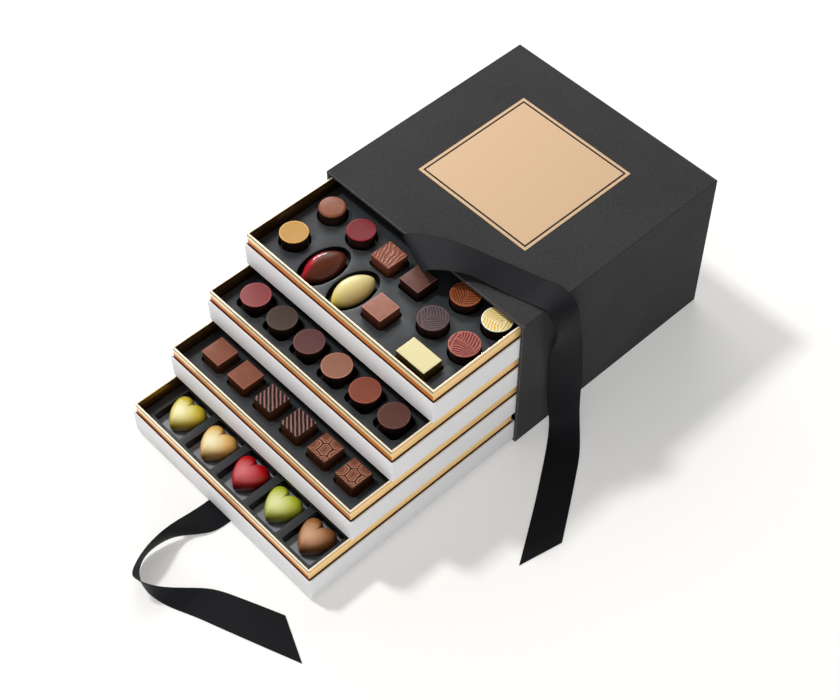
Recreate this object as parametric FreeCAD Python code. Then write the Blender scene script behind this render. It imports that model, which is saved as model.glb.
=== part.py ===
import FreeCAD, Part
import math
import os

# Slipcase chocolate box: a paper-covered board case, open at the front, with four trays that pull out
# and two closing ribbons. Millimetres. X runs across the opening, the open front faces -Y and +Z is up.
# The origin is the middle of the case's underside.

# Slipcase
sleeve_width = 206.0
sleeve_depth = 204.5
sleeve_height = 137.6
board = 1.6
paper = 0.2
wrap_edge_chamfer = 0.3
base_card = 0.7
base_card_inset = 1.5
notch_clearance = 0.9

# Label on the lid
label_side = 111.5
label_thickness = 0.3
label_shift_x = -1.5
label_shift_y = 4.5

# Trays, numbered from the top, with the share of its depth by which each stands out of the case
tray_pull_shares = (0.411, 0.603, 0.797, 0.995)
side_clearance = 0.4
back_clearance = 0.5
lift_clearance = 0.3
top_clearance = 1.5
tray_wall = 2.0
tray_floor = 1.5
tray_corner_radius = 0.8
collar_card = 1.2
collar_rise = 11.1

# Moulded inserts and their pockets
insert_clearance = 0.3
insert_sheet = 0.6
deck_drop = 12.5
pocket_depth = 8.5
pocket_foot_inset = 1.1
pocket_clearance = 0.9
pocket_corner = 3.0
pocket_corner_tight = 1.6
overrun = 1.0

# Chocolates; round forms are drawn with this many flat sides to keep the model light
round_sides = 24
round_top = 23.2
round_base = 20.0
round_height = 17.5
round_rows = 6
round_pitch_share = 0.154
dome_width = 20.8
dome_shoulder = 16.2
dome_height = 18.8
square_side = 19.2
square_base = 18.4
square_edge = 0.7
square_height = 17.2
square_pocket_clearance = 1.5
square_rows = 6
square_kind_columns = 2
square_pitch_share = 0.1525
oval_width = 21.6
oval_length = 39.6
oval_height = 13.8
oval_pocket_width = 29.0
oval_pocket_length = 46.0
ingot_length = 28.2
ingot_depth = 17.4
ingot_height = 16.5
heart_width = 28.4
heart_length = 28.0
heart_height = 15.0
heart_rows = 5
heart_pitch_share = 0.19
heart_pocket_width = 30.2
heart_pocket_length = 33.6
heart_turn = 3.0
heart_lobe_points = 6
heart_flank_points = 5

# Ribbons
ribbon_width = 25.0
ribbon_thickness = 0.35
ribbon_gap = 0.2
ribbon_tuck = 14.0
ribbon_shift_x = -2.0
ribbon_steps = 2

# Colours of the chocolates, one column or kind each
round_names = ("raspberry", "olive", "plum", "milk", "cinnamon", "dark")
square_names = ("plain", "striped", "crackle")
heart_names = ("yellow", "tan", "red", "green", "brown")

# Sections of the moulded chocolates, as shares of height and of full outline
oval_section_shares = ((0.0, 0.6), (0.2, 0.88), (0.48, 1.0), (0.8, 0.84), (1.0, 0.45))
heart_section_shares = ((0.0, 0.86), (0.35, 1.0), (0.75, 0.84), (1.0, 0.55))
dome_section_shares = (0.5, 0.85)

# A heart's right half, as shares of its width and length: notch, lobe top, widest point, flank and tip
heart_notch_share = (0.0, 0.355)
heart_lobe_share = (0.235, 0.5)
heart_side_share = (0.5, 0.225)
heart_flank_share = (0.365, -0.24)
heart_tip_share = (0.0, -0.5)

# Ribbon routes: pairs of edge points, as shares of the ribbon's width, measured from a named place.
# The upper ribbon is glued under the ceiling, turns back over the front edge and crosses the lid.
upper_ceiling_shares = (
    ((-0.5, 0.8, 0.0), (0.5, 0.8, 0.0)),
    ((-0.5, 0.5, 0.0), (0.5, 0.48, 0.0)),
    ((-0.5, 0.2, -0.01), (0.5, 0.12, -0.01)),
    ((-0.51, -0.05, 0.0), (0.6, -0.32, 0.0)),
)
upper_front_shares = (
    ((-0.54, -0.13, -0.04), (0.78, -0.58, -0.05)),
    ((-0.53, -0.12, 0.05), (0.89, -0.68, 0.04)),
    ((-0.46, -0.03, 0.11), (0.97, -0.63, 0.15)),
    ((-0.22, 0.18, 0.15), (1.12, -0.49, 0.22)),
    ((0.24, 0.46, 0.2), (1.37, -0.3, 0.26)),
    ((0.88, 0.74, 0.23), (1.66, -0.1, 0.26)),
    ((1.56, 0.99, 0.18), (1.96, 0.12, 0.2)),
    ((2.16, 1.25, 0.09), (2.36, 0.3, 0.1)),
)
# It then runs over the right edge, measured from the top of that edge, and falls beside the case.
upper_edge_shares = (
    ((-1.44, 1.48, 0.03), (-1.2, 0.5, 0.03)),
    ((-0.76, 1.7, 0.01), (-0.5, 0.72, 0.01)),
    ((-0.16, 1.82, 0.03), (0.06, 0.84, 0.04)),
    ((0.34, 1.76, -0.06), (0.3, 0.81, -0.09)),
    ((0.54, 1.74, -0.56), (0.5, 0.85, -0.52)),
    ((0.62, 1.82, -1.36), (0.36, 0.94, -1.28)),
    ((0.68, 1.89, -2.32), (0.15, 1.05, -2.2)),
)
# Its tail lies on the table, measured from the foot of the right side.
upper_floor_shares = (
    ((0.72, 1.94, 2.24), (0.12, 1.12, 2.16)),
    ((0.76, 1.93, 1.04), (0.14, 1.17, 0.96)),
    ((0.96, 1.78, 0.34), (0.3, 1.13, 0.28)),
    ((1.4, 1.36, 0.04), (0.62, 0.76, 0.03)),
    ((2.04, 0.54, 0.0), (1.28, -0.16, 0.0)),
    ((2.68, -0.4, 0.0), (1.92, -1.1, 0.0)),
    ((3.42, -1.52, 0.0), (3.11, -2.96, 0.0)),
)
# The lower ribbon runs flat under the lowest tray, stands up in a loop before it and lies down again.
lower_run_shares = (
    ((-0.5, 0.0, 0.0), (0.5, 0.0, 0.0)),
    ((-0.5, -2.9, 0.0), (0.5, -2.9, 0.0)),
    ((-0.5, -5.7, 0.0), (0.5, -5.7, 0.0)),
)
lower_loop_shares = (
    ((-0.5, 0.44, 0.0), (0.5, 0.44, 0.0)),
    ((-0.5, -0.16, 0.01), (0.5, -0.12, 0.0)),
    ((-0.42, -0.8, 0.22), (0.45, -0.54, 0.02)),
    ((-0.28, -1.5, 0.56), (0.22, -1.0, 0.07)),
    ((-0.09, -2.15, 0.82), (-0.1, -1.5, 0.11)),
    ((0.11, -2.78, 0.89), (-0.24, -2.07, 0.11)),
    ((0.27, -3.17, 0.82), (-0.21, -2.56, 0.05)),
    ((0.47, -3.37, 0.81), (0.03, -2.94, 0.01)),
    ((0.75, -3.31, 0.77), (0.46, -3.15, 0.0)),
    ((1.08, -3.02, 0.58), (1.0, -3.16, 0.0)),
    ((1.42, -2.46, 0.26), (1.54, -3.02, 0.0)),
    ((1.92, -1.82, 0.05), (2.2, -2.73, 0.0)),
    ((2.56, -1.45, 0.01), (2.88, -2.46, 0.0)),
    ((3.97, -0.83, 0.0), (5.43, -1.46, 0.0)),
)

# Tray 1's places, as shares of the insert's half width and half depth. Each kind comes twice, the
# second time turned half round the middle of the tray.
assorted_place_shares = {
    "mustard_round": (-0.81, -0.73),
    "dome_round": (-0.81, -0.35),
    "red_round": (-0.48, -0.35),
    "egg_oval": (-0.465, -0.74),
    "cream_oval": (-0.14, -0.74),
    "rough_square": (-0.15, -0.365),
    "dark_square": (0.165, -0.365),
    "milk_square": (0.175, -0.745),
    "purple_wave": (0.51, -0.545),
    "copper_wave": (0.51, -0.215),
    "yellow_wave": (0.838, -0.215),
    "red_wave": (0.838, -0.545),
    "foil_ingot": (0.685, -0.845),
}

# Sizes that follow from those above
half_width = sleeve_width / 2
front = -sleeve_depth / 2
back = sleeve_depth / 2
board_half_width = half_width - paper
board_front = front + paper
board_back = back - paper
board_top = sleeve_height - paper
cavity_half_width = board_half_width - board - paper
cavity_back = board_back - board - paper
cavity_floor = base_card + board + paper
ceiling = board_top - board - paper
tray_count = len(tray_pull_shares)
tray_width = 2 * (cavity_half_width - side_clearance)
tray_depth = cavity_back - front - back_clearance
tray_pulls = [tray_depth * pull_share for pull_share in tray_pull_shares]
tray_pitch = (ceiling - cavity_floor - lift_clearance - top_clearance) / tray_count
tray_height = tray_pitch - lift_clearance
tray_white_height = tray_height - collar_rise
deck_height = tray_height - deck_drop
collar_width = tray_width - 2 * tray_wall
collar_depth = tray_depth - 2 * tray_wall
insert_width = collar_width - 2 * (collar_card + insert_clearance)
insert_depth = collar_depth - 2 * (collar_card + insert_clearance)
seat_height = deck_height - pocket_depth
ribbon_lift = ribbon_gap + ribbon_thickness / 2


def vector(x, y, z):
    return FreeCAD.Vector(x, y, z)


def block(low, high):
    """A box between two opposite corners."""
    size = [b - a for a, b in zip(low, high)]
    return Part.makeBox(size[0], size[1], size[2], vector(*low))


def tube_block(width, depth, z_low, z_high):
    """A box centred on the Z axis between two heights."""
    return block((-width / 2, -depth / 2, z_low), (width / 2, depth / 2, z_high))


def ring_wire(ring):
    """A closed wire through a ring of points."""
    return Part.makePolygon(ring + ring[:1])


def stacked(rings):
    """A solid through rings with the same number of points: flat faces, or two triangles where they twist.

    Both broad faces of a twisted strip are split along the same diagonal, so that it keeps its thickness.
    """
    faces = [Part.Face(ring_wire(ring)) for ring in (rings[0], rings[-1])]
    for low, high in zip(rings, rings[1:]):
        for index in range(len(low)):
            patch = [low[index - 1], low[index], high[index], high[index - 1]]
            if index > len(low) / 2:
                patch = patch[1:] + patch[:1]
            flat = ring_wire(patch).findPlane() is not None
            pieces = [patch] if flat else [patch[:3], patch[2:] + patch[:1]]
            faces += [Part.Face(ring_wire(piece)) for piece in pieces]
    shell = Part.makeShell(faces)
    shell.sewShape()
    solid = Part.makeSolid(shell)
    return solid if solid.Volume > 0 else solid.reversed()


def upright_edges(shape):
    """The straight vertical edges of a box."""
    return [edge for edge in shape.Edges if abs(edge.tangentAt(edge.FirstParameter).z) > 0.5]


def save(name, shape):
    shape.exportStep("parts/" + name + ".step")


# Slipcase boards, papers and label


def sleeve_boards():
    """The five greyboard panels, butted together: lid and bottom over the sides, back between the sides."""
    outer = board_half_width
    inner = board_half_width - board
    low = base_card + board
    high = board_top - board
    return {
        "sleeve_top_board": block((-outer, board_front, high), (outer, board_back, board_top)),
        "sleeve_bottom_board": block((-outer, board_front, base_card), (outer, board_back, low)),
        "sleeve_left_board": block((-outer, board_front, low), (-inner, board_back, high)),
        "sleeve_right_board": block((inner, board_front, low), (outer, board_back, high)),
        "sleeve_back_board": block((-inner, board_back - board, low), (inner, board_back, high)),
    }


def sleeve_wrap_paper():
    """The outer paper: lid, sides and back, turned over the front edges of the boards."""
    outer = block((-half_width, front, base_card), (half_width, back, sleeve_height))
    soft = [edge for edge in outer.Edges if edge.BoundBox.ZMax > base_card]
    outer = outer.makeChamfer(min(wrap_edge_chamfer, paper), soft)
    core = block((-board_half_width, board_front, base_card), (board_half_width, board_back, board_top))
    mouth = block((-cavity_half_width, front, cavity_floor), (cavity_half_width, board_front, ceiling))
    return outer.cut([core, mouth])


def sleeve_liner_paper():
    """The lining paper inside the case, up to the turned-over front edges."""
    half = cavity_half_width + paper
    outer = block((-half, board_front, cavity_floor - paper), (half, cavity_back + paper, ceiling + paper))
    inner_low = (-cavity_half_width, board_front, cavity_floor)
    return outer.cut(block(inner_low, (cavity_half_width, cavity_back, ceiling)))


def sleeve_base_card():
    """The card under the case, notched at the front for the lower ribbon's glued end."""
    half = half_width - base_card_inset
    card = block((-half, front + base_card_inset, 0), (half, back - base_card_inset, base_card))
    notch_half = ribbon_width / 2 + notch_clearance
    notch_end = front + ribbon_tuck + notch_clearance
    notch_low = (ribbon_shift_x - notch_half, front, 0)
    return card.cut(block(notch_low, (ribbon_shift_x + notch_half, notch_end, base_card)))


def top_label():
    half = label_side / 2
    low = (label_shift_x - half, label_shift_y - half, sleeve_height)
    high = (label_shift_x + half, label_shift_y + half, sleeve_height + label_thickness)
    return block(low, high)


# Ribbons


def ribbon_stations(origin, shares):
    """Edge points of a ribbon, from shares of its width measured from a place."""
    return [tuple(origin + vector(*point) * ribbon_width for point in pair) for pair in shares]


def above_table(point):
    """The point, lifted to the height at which a ribbon lies on the table."""
    return vector(point.x, point.y, max(point.z, ribbon_lift))


def ribbon(stations):
    """A thin strip between two smooth edge lines that run through the pairs of edge points."""
    middles = [(a + b) * 0.5 for a, b in stations]
    runs = [0.0]
    for before, after in zip(middles, middles[1:]):
        runs.append(runs[-1] + (after - before).Length)
    edges = [Part.BSplineCurve(), Part.BSplineCurve()]
    for edge, points in zip(edges, zip(*stations)):
        edge.interpolate(Points=list(points), Parameters=runs)
    rings = []
    for step in range(ribbon_steps * (len(runs) - 1) + 1):
        span = min(step // ribbon_steps, len(runs) - 2)
        run = runs[span] + (runs[span + 1] - runs[span]) * (step - span * ribbon_steps) / ribbon_steps
        a, b = [above_table(edge.value(run)) for edge in edges]
        along = edges[0].getD1(run)[1] + edges[1].getD1(run)[1]
        up = along.cross(b - a).normalize() * (ribbon_thickness / 2)
        rings.append([a - up, b - up, b + up, a + up])
    return stacked(rings)


def ribbon_upper():
    glue_line = vector(ribbon_shift_x, front, ceiling - ribbon_lift)
    front_edge = vector(ribbon_shift_x, front, sleeve_height + ribbon_lift)
    right_edge = vector(half_width, front, sleeve_height + ribbon_lift)
    right_foot = vector(half_width, front, ribbon_lift)
    stations = ribbon_stations(glue_line, upper_ceiling_shares)
    stations += ribbon_stations(front_edge, upper_front_shares)
    stations += ribbon_stations(right_edge, upper_edge_shares)
    stations += ribbon_stations(right_foot, upper_floor_shares)
    return ribbon(stations)


def ribbon_lower():
    glue_line = vector(ribbon_shift_x, front + ribbon_tuck, ribbon_lift)
    tray_front = vector(ribbon_shift_x, front - tray_pulls[-1], ribbon_lift)
    stations = ribbon_stations(glue_line, lower_run_shares)
    stations += ribbon_stations(tray_front, lower_loop_shares)
    return ribbon(stations)


# Trays


def tray_place(number):
    """The middle of a tray's underside, as the tray stands pulled out."""
    y = front - tray_pulls[number - 1] + tray_depth / 2
    return vector(0, y, cavity_floor + lift_clearance + (tray_count - number) * tray_pitch)


def tray_base():
    """White folded board tray."""
    shell = tube_block(tray_width, tray_depth, 0, tray_white_height)
    shell = shell.makeFillet(tray_corner_radius, upright_edges(shell))
    return shell.cut(tube_block(collar_width, collar_depth, tray_floor, tray_white_height))


def tray_collar():
    """Gold card frame that lines the white walls and stands above them for the next tray to slide on."""
    inner_width = collar_width - 2 * collar_card
    inner_depth = collar_depth - 2 * collar_card
    frame = tube_block(collar_width, collar_depth, tray_floor, tray_height)
    return frame.cut(tube_block(inner_width, inner_depth, tray_floor, tray_height))


# Pocket outlines: each gives a ring of points at a height, drawn in by an inset


def clipped_outline(width, depth, corner):
    """A rectangle with its corners clipped, for pockets with rounded corners."""

    def outline(inset, z):
        x = width / 2 - inset
        y = depth / 2 - inset
        clip = corner * (x + y) / (width / 2 + depth / 2)
        corners = [(x, y - clip), (x - clip, y), (clip - x, y), (-x, y - clip)]
        corners += [(-a, -b) for a, b in corners]
        return [vector(a, b, z) for a, b in corners]

    return outline


def square_outline(width, depth):
    """A plain rectangle."""

    def outline(inset, z):
        x = width / 2 - inset
        y = depth / 2 - inset
        return [vector(a, b, z) for a, b in ((x, y), (-x, y), (-x, -y), (x, -y))]

    return outline


def oval_outline(width, length):
    """An ellipse with its length along Y, or a circle."""

    def outline(inset, z):
        x = width / 2 - inset
        y = x * length / width
        turns = [2 * math.pi * side / round_sides for side in range(round_sides)]
        return [vector(x * math.cos(turn), y * math.sin(turn), z) for turn in turns]

    return outline


def octagon_corner(width):
    """The clip that makes a square outline a regular octagon."""
    return width / (2 + math.sqrt(2))


def draft_at(depth_below_deck):
    """How far a pocket's wall has drawn in at a depth."""
    return pocket_foot_inset * depth_below_deck / pocket_depth


def pocket_void(outline):
    """The tapered space of a pocket, through the deck."""
    wide = outline(draft_at(-overrun), deck_height + overrun)
    return stacked([outline(pocket_foot_inset, seat_height), wide])


def pocket_cup(outline):
    """The same space grown by the sheet's thickness, up to the middle of the deck sheet."""
    rise = insert_sheet / 2
    wide = outline(draft_at(rise) - insert_sheet, deck_height - rise)
    return stacked([outline(pocket_foot_inset - insert_sheet, seat_height - insert_sheet), wide])


def tray_insert(pockets):
    """Thermoformed sheet: a deck with a skirt down to the tray's floor, and a tapered cup for each pocket."""
    shell = tube_block(insert_width, insert_depth, tray_floor, deck_height)
    hollow_width = insert_width - 2 * insert_sheet
    hollow_depth = insert_depth - 2 * insert_sheet
    shell = shell.cut(tube_block(hollow_width, hollow_depth, tray_floor, deck_height - insert_sheet))
    cups = [pocket_cup(outline).translated(place) for outline, place in pockets]
    voids = [pocket_void(outline).translated(place) for outline, place in pockets]
    return shell.fuse(cups).cut(voids).removeSplitter()


# Chocolates, each standing on z = 0 about the Z axis


def round_chocolate():
    """A disc that widens to its flat top."""
    foot = oval_outline(round_base, round_base)
    top = oval_outline(round_top, round_top)
    return stacked([foot(0, 0), top(0, round_height)])


def dome_chocolate():
    """A smaller round with straight sides and a top that is part of a ball."""
    outline = oval_outline(dome_width, dome_width)
    radius = dome_width / 2
    cap = dome_height - dome_shoulder
    ball = (radius * radius + cap * cap) / (2 * cap)
    rings = [outline(0, 0), outline(0, dome_shoulder)]
    for rise_share in dome_section_shares:
        rise = ball - cap + cap * rise_share
        rings.append(outline(radius - math.sqrt(ball * ball - rise * rise), dome_shoulder + cap * rise_share))
    return stacked(rings)


def square_chocolate():
    """A block with slightly drawn-in foot and a softened top edge."""
    outline = square_outline(square_side, square_side)
    foot = outline((square_side - square_base) / 2, 0)
    shoulder = outline(0, square_height - square_edge)
    return stacked([foot, shoulder, outline(square_edge, square_height)])


def oval_chocolate():
    """An egg-like oval, flat underneath."""
    rings = []
    for height_share, outline_share in oval_section_shares:
        outline = oval_outline(oval_width * outline_share, oval_length * outline_share)
        rings.append(outline(0, oval_height * height_share))
    return stacked(rings)


def ingot_chocolate():
    """A foil-wrapped bar, square-edged."""
    return tube_block(ingot_length, ingot_depth, 0, ingot_height)


def heart_ring(outline_share, z):
    """A heart outline with its tip towards -Y: a lobe arc and a flank arc, mirrored on the left."""

    def place(share):
        return vector(share[0] * heart_width * outline_share, share[1] * heart_length * outline_share, z)

    widest = place(heart_side_share)
    lobe = Part.Arc(place(heart_notch_share), place(heart_lobe_share), widest).toShape()
    flank = Part.Arc(widest, place(heart_flank_share), place(heart_tip_share)).toShape()
    right = lobe.discretize(heart_lobe_points) + flank.discretize(heart_flank_points)[1:]
    left = [vector(-point.x, point.y, point.z) for point in right[-2:0:-1]]
    return right + left


def heart_chocolate():
    """A pillow-like heart, widest low down, turned a little in its pocket."""
    rings = []
    for rise_share, outline_share in heart_section_shares:
        rings.append(heart_ring(outline_share, heart_height * rise_share))
    return stacked(rings).rotated(vector(0, 0, 0), vector(0, 0, 1), heart_turn)


# Layouts: each gives a list of node name, chocolate, pocket outline and place on the insert


def grid_places(columns, rows, pitch_share):
    """Each place's column, with the pitches as a share of the insert's width and depth."""
    for column in range(columns):
        for row in range(rows):
            x = (column - (columns - 1) / 2) * insert_width * pitch_share
            y = (row - (rows - 1) / 2) * insert_depth * pitch_share
            yield column, vector(x, y, 0)


def assorted_layout():
    round_pocket = round_top + pocket_clearance
    dome_pocket = dome_width + 3 * pocket_clearance
    square_pocket = square_side + 2 * square_pocket_clearance
    rounded = clipped_outline(round_pocket, round_pocket, octagon_corner(round_pocket))
    square = clipped_outline(square_pocket, square_pocket, pocket_corner_tight)
    forms = {
        "round": (round_chocolate, rounded),
        "wave": (round_chocolate, rounded),
        "square": (square_chocolate, square),
        "oval": (oval_chocolate, oval_outline(oval_pocket_width, oval_pocket_length)),
        "ingot": (
            ingot_chocolate,
            square_outline(ingot_length + 3 * pocket_clearance, ingot_depth + 3 * pocket_clearance),
        ),
    }
    dome = (dome_chocolate, clipped_outline(dome_pocket, dome_pocket, octagon_corner(dome_pocket)))
    for name, (x_share, y_share) in assorted_place_shares.items():
        make, outline = dome if name == "dome_round" else forms[name.split("_")[1]]
        for turn in (1, -1):
            place = vector(turn * x_share * insert_width / 2, turn * y_share * insert_depth / 2, 0)
            yield name + "s", make(), outline, place


def round_layout():
    side = round_top + pocket_clearance
    outline = clipped_outline(side, side, pocket_corner)
    for column, place in grid_places(len(round_names), round_rows, round_pitch_share):
        yield round_names[column] + "_rounds", round_chocolate(), outline, place


def square_layout():
    side = square_side + 2 * square_pocket_clearance
    outline = clipped_outline(side, side, pocket_corner_tight)
    columns = len(square_names) * square_kind_columns
    for column, place in grid_places(columns, square_rows, square_pitch_share):
        yield square_names[column // square_kind_columns] + "_squares", square_chocolate(), outline, place


def heart_layout():
    outline = square_outline(heart_pocket_width, heart_pocket_length)
    for column, place in grid_places(len(heart_names), heart_rows, heart_pitch_share):
        yield heart_names[column] + "_hearts", heart_chocolate(), outline, place


def save_tray(number, layout):
    """One tray with its collar, its insert and the chocolates that stand in it."""
    prefix = "tray_" + str(number) + "_"
    place = tray_place(number)
    pieces = list(layout())
    save(prefix + "base", tray_base().translated(place))
    save(prefix + "collar", tray_collar().translated(place))
    save(prefix + "insert", tray_insert([piece[2:] for piece in pieces]).translated(place))
    groups = {}
    for name, chocolate, _, spot in pieces:
        groups.setdefault(name, []).append(chocolate.translated(place + spot + vector(0, 0, seat_height)))
    for name, chocolates in groups.items():
        save(prefix + name, Part.makeCompound(chocolates))


os.makedirs("parts", exist_ok=True)
for node, panel in sleeve_boards().items():
    save(node, panel)
save("sleeve_wrap_paper", sleeve_wrap_paper())
save("sleeve_liner_paper", sleeve_liner_paper())
save("sleeve_base_card", sleeve_base_card())
save("top_label", top_label())
save("ribbon_upper", ribbon_upper())
save("ribbon_lower", ribbon_lower())
for tray_number, tray_layout in enumerate((assorted_layout, round_layout, square_layout, heart_layout), 1):
    save_tray(tray_number, tray_layout)
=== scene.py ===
import math

import bmesh
import bpy
from mathutils import Matrix, Vector, noise


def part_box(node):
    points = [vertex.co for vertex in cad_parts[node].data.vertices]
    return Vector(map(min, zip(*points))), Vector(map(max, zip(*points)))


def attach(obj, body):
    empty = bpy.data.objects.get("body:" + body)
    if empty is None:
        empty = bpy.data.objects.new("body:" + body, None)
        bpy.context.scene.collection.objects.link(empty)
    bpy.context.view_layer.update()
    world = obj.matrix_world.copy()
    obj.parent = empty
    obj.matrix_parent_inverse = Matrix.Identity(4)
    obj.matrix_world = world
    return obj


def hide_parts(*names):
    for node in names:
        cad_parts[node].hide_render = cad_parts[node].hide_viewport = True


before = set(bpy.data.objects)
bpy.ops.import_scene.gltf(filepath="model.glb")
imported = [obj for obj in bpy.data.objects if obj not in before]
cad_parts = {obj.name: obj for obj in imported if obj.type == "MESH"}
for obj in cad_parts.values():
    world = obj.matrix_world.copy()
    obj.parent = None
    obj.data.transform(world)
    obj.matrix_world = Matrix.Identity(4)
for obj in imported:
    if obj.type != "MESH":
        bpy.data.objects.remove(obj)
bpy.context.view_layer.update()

# Slipcase chocolate box: the finish of the case, its ribbons, the four trays, their moulded inserts and
# their chocolates. Metres; sizes are written in millimetres times mm.
mm = 0.001
scene = bpy.context.scene

# Camera
camera_place = (0.5822, -0.64395, 1.0306)
camera_azimuth = 47.150
camera_elevation = 51.877
camera_roll = -0.335
camera_lens = 71.34
film_width = 36.0
camera_near = 0.01

# Light: a softbox from the left, a broad panel from behind, a low fill from the camera's side, a narrow strip
# for long highlights, an even sky and a white floor. Each lamp: direction, distance, sides and power
box_middle = Vector((0.0, -0.09, 0.05))
lamps = {
    "softbox": ((-0.62, -0.2, 1.0), 6.0, (0.7, 0.7), 209.0),
    "panel": ((-0.6, 0.43, 0.72), 1.5, (1.2, 0.8), 6.6),
    "fill": ((0.68, -0.66, 0.16), 3.0, (1.0, 1.0), 30.0),
    "strip": ((-0.86, 0.42, 0.4), 1.5, (0.55, 0.05), 11.0),
}
lamps_without_gloss = ("softbox", "fill")
lamps_without_diffuse = ("strip",)
white = (1.0, 1.0, 1.0, 1.0)
sky_strength = 0.34
sky_fade = (0.35, 0.75)
floor_side = 3.6
floor_drop = 0.05 * mm
floor_grey = 0.75
floor_warmth = (1.0, 0.98, 0.945)
floor_lift = 0.29
floor_far_lift = 0.7
floor_fade = (0.5, 1.4)

# Places taken from the frame
case_low, case_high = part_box("sleeve_wrap_paper")
paper = 0.2 * mm
case_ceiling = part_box("sleeve_liner_paper")[1].z - paper
lowest_tray_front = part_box("tray_4_base")[0].y

# Papers and label
rough_spread = 0.06
rub_width = 0.5 * mm
crease_width = 1.0 * mm
opening_fade = (case_low.y + 0.8 * mm, case_low.y + 3 * mm)
label_line_inset = 3.1 * mm
label_line_width = 1.5 * mm
label_line_blur = 0.08 * mm

# Trays
tray_wall = 1.2 * mm
tray_floor = 1.5 * mm
tray_corner = 0.8 * mm
tray_edge = 0.3 * mm
collar_card = 1.2 * mm
collar_edge = 0.35 * mm
# Gold card, in millimetres below the collar's top, with its light painted in: a painted highlight on the
# edge, a dark line at a score that is also a painted reflection, pale and orange bands of painted reflection
# and a dark foot of painted shade
collar_edge_highlight_fade = (0.9, 0.5)
collar_score_fall = 1.7
collar_score_reflection_fade = (0.9, 0.55)
collar_reflection_band_fade = (7.0, 4.8)
collar_foot_shade_fade = (9.7, 10.6)

# Moulded inserts
insert_sheet = 0.5 * mm
insert_corner = 1.5 * mm
pocket_roll = 0.6 * mm
pocket_roll_turns = (0.0, 0.5, 1.05, 1.57)
pocket_foot_inset = 1.1 * mm
pocket_foot_round = 0.8 * mm
# Rings of a pocket's foot: inset and height above the floor, as shares of the foot's rounding
pocket_foot_shares = ((-0.15, 1.0), (0.0, 0.35), (0.6, 0.0))
corner_points = 9
round_pocket = 24.1 * mm
round_pocket_corner = 5.0 * mm
dome_pocket = 23.5 * mm
square_pocket = 22.2 * mm
square_pocket_corner = 2.6 * mm
oval_pocket = (29.0 * mm, 46.0 * mm)
ingot_pocket = (30.9 * mm, 20.1 * mm)
heart_pocket = (30.2 * mm, 33.6 * mm)
sharp_pocket_corner = 1.0 * mm
# Insert plastic, in millimetres below the deck: sunk parts, a pale rim of painted highlight, walls of painted
# shade and floors that can be paler as a painted reflection
pocket_sunk_fade = (0.05, 0.35)
pocket_rim_highlight_fall = 0.22
pocket_rim_highlight_fade = (0.3, 0.1)
pocket_wall_shade_fade = (0.5, 1.2)
pocket_floor_reflection_fade = (7.2, 8.1)

# Chocolates
round_sides = 72
round_top = 23.2 * mm
round_base = 20.0 * mm
round_edge = 0.5 * mm
round_rim_width = 1.2 * mm
round_top_sink = 0.08 * mm
small_round_share = 0.95
dome_width = 20.8 * mm
dome_edge = 1.9 * mm
dome_crown = 0.5 * mm
dome_rings = 3
dome_ring_width = 1.6 * mm
square_side = 19.2 * mm
square_base = 18.4 * mm
square_edge = 0.4 * mm
relief_inset = 0.1 * mm
relief_border = 0.15 * mm
relief_fade = 0.4 * mm
oval_width = 20.2 * mm
oval_length = 38.8 * mm
oval_near_point = 0.26
oval_far_point = 0.08
oval_lean = 0.17
oval_segments = 64
oval_rings = 40
oval_swell = 0.5625
oval_turn = -4.5
ingot_half = (14.1 * mm, 8.7 * mm)
ingot_cuts = 30
ingot_crease = 0.45 * mm
ingot_smooth_band = 0.5 * mm
ingot_edge = 0.35 * mm
heart_width = 28.4 * mm
heart_length = 28.0 * mm
heart_turn = 3.0
heart_notch_fill = 0.03
heart_notch_start = 0.3
heart_notch_reach = 0.14
round_rows = 6
round_pitch_share = 0.154
square_rows = 6
square_kind_columns = 2
square_pitch_share = 0.1525
heart_rows = 5
heart_pitch_share = 0.19
touching = 0.01 * mm
# Raised tops of squares: how finely they are divided, then millimetres on the form
striped_cuts = 48
stripe_pitch = 2.9
stripe_lean = math.radians(50)
stripe_foot = 0.45
stripe_slope = 0.3
stripe_depth = 0.18
wrinkle_cuts = 56
wrinkle_pitch = 3.2
wrinkle_height = 0.8
crackle_cuts = 74
crackle_wobble = 1.4
crackle_groove = 0.45
crackle_height = 0.3
crackle_sink = 0.1
# Outlines in a cell: distance from its border, how far they fade, and height
crackle_lines = ((0.85, 0.45, 1.0), (2.3, 0.4, 0.75))
# Middles of the cells, as shares of the square's side
crackle_cell_shares = (
    (-0.34, 0.36), (0.2, 0.4), (0.5, -0.02), (-0.42, -0.2), (0.06, -0.08), (-0.06, -0.62), (0.42, -0.52),
)
# Painted highlights round rims and painted sheen on heart crowns, in millimetres on the form
round_rim_highlight = ("round", 10.55, 10.85)
small_round_rim_highlight = ("round", 10.0, 10.3)
ripple_rim_highlight = ("round", 10.6, 10.9)
square_rim_highlight = ("square", 8.85, 9.1)
crown_sheen_middle = Vector((-0.8, -2.6))
crown_sheen_fade = (12.5, 2.5)
crown_sheen_rise_fade = (7.0, 13.0)
# Printed ripples, in millimetres on the form: the middles of two fields of arcs, and the lines where three
# fields meet
ripple_turn = -47.0
ripple_pitch = 2.1
ripple_left_middle = (18.0, -9.0)
ripple_left_radius = 26.8
ripple_right_middle = (-25.0, 16.5)
ripple_low_shift = 6.0
ripple_low_bow = 0.055
ripple_low_top = 4.9
ripple_seam_fade = (0.6, 0.3)

# Heart outline, right half, as shares of its width and length
heart_notch_share = Vector((0.0, 0.27))
heart_lobe_share = Vector((0.235, 0.5))
heart_side_share = Vector((0.5, 0.225))
heart_flank_share = Vector((0.33, -0.22))
heart_tip_share = Vector((0.0, -0.5))
heart_lobe_points = 18
heart_flank_points = 14
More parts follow.
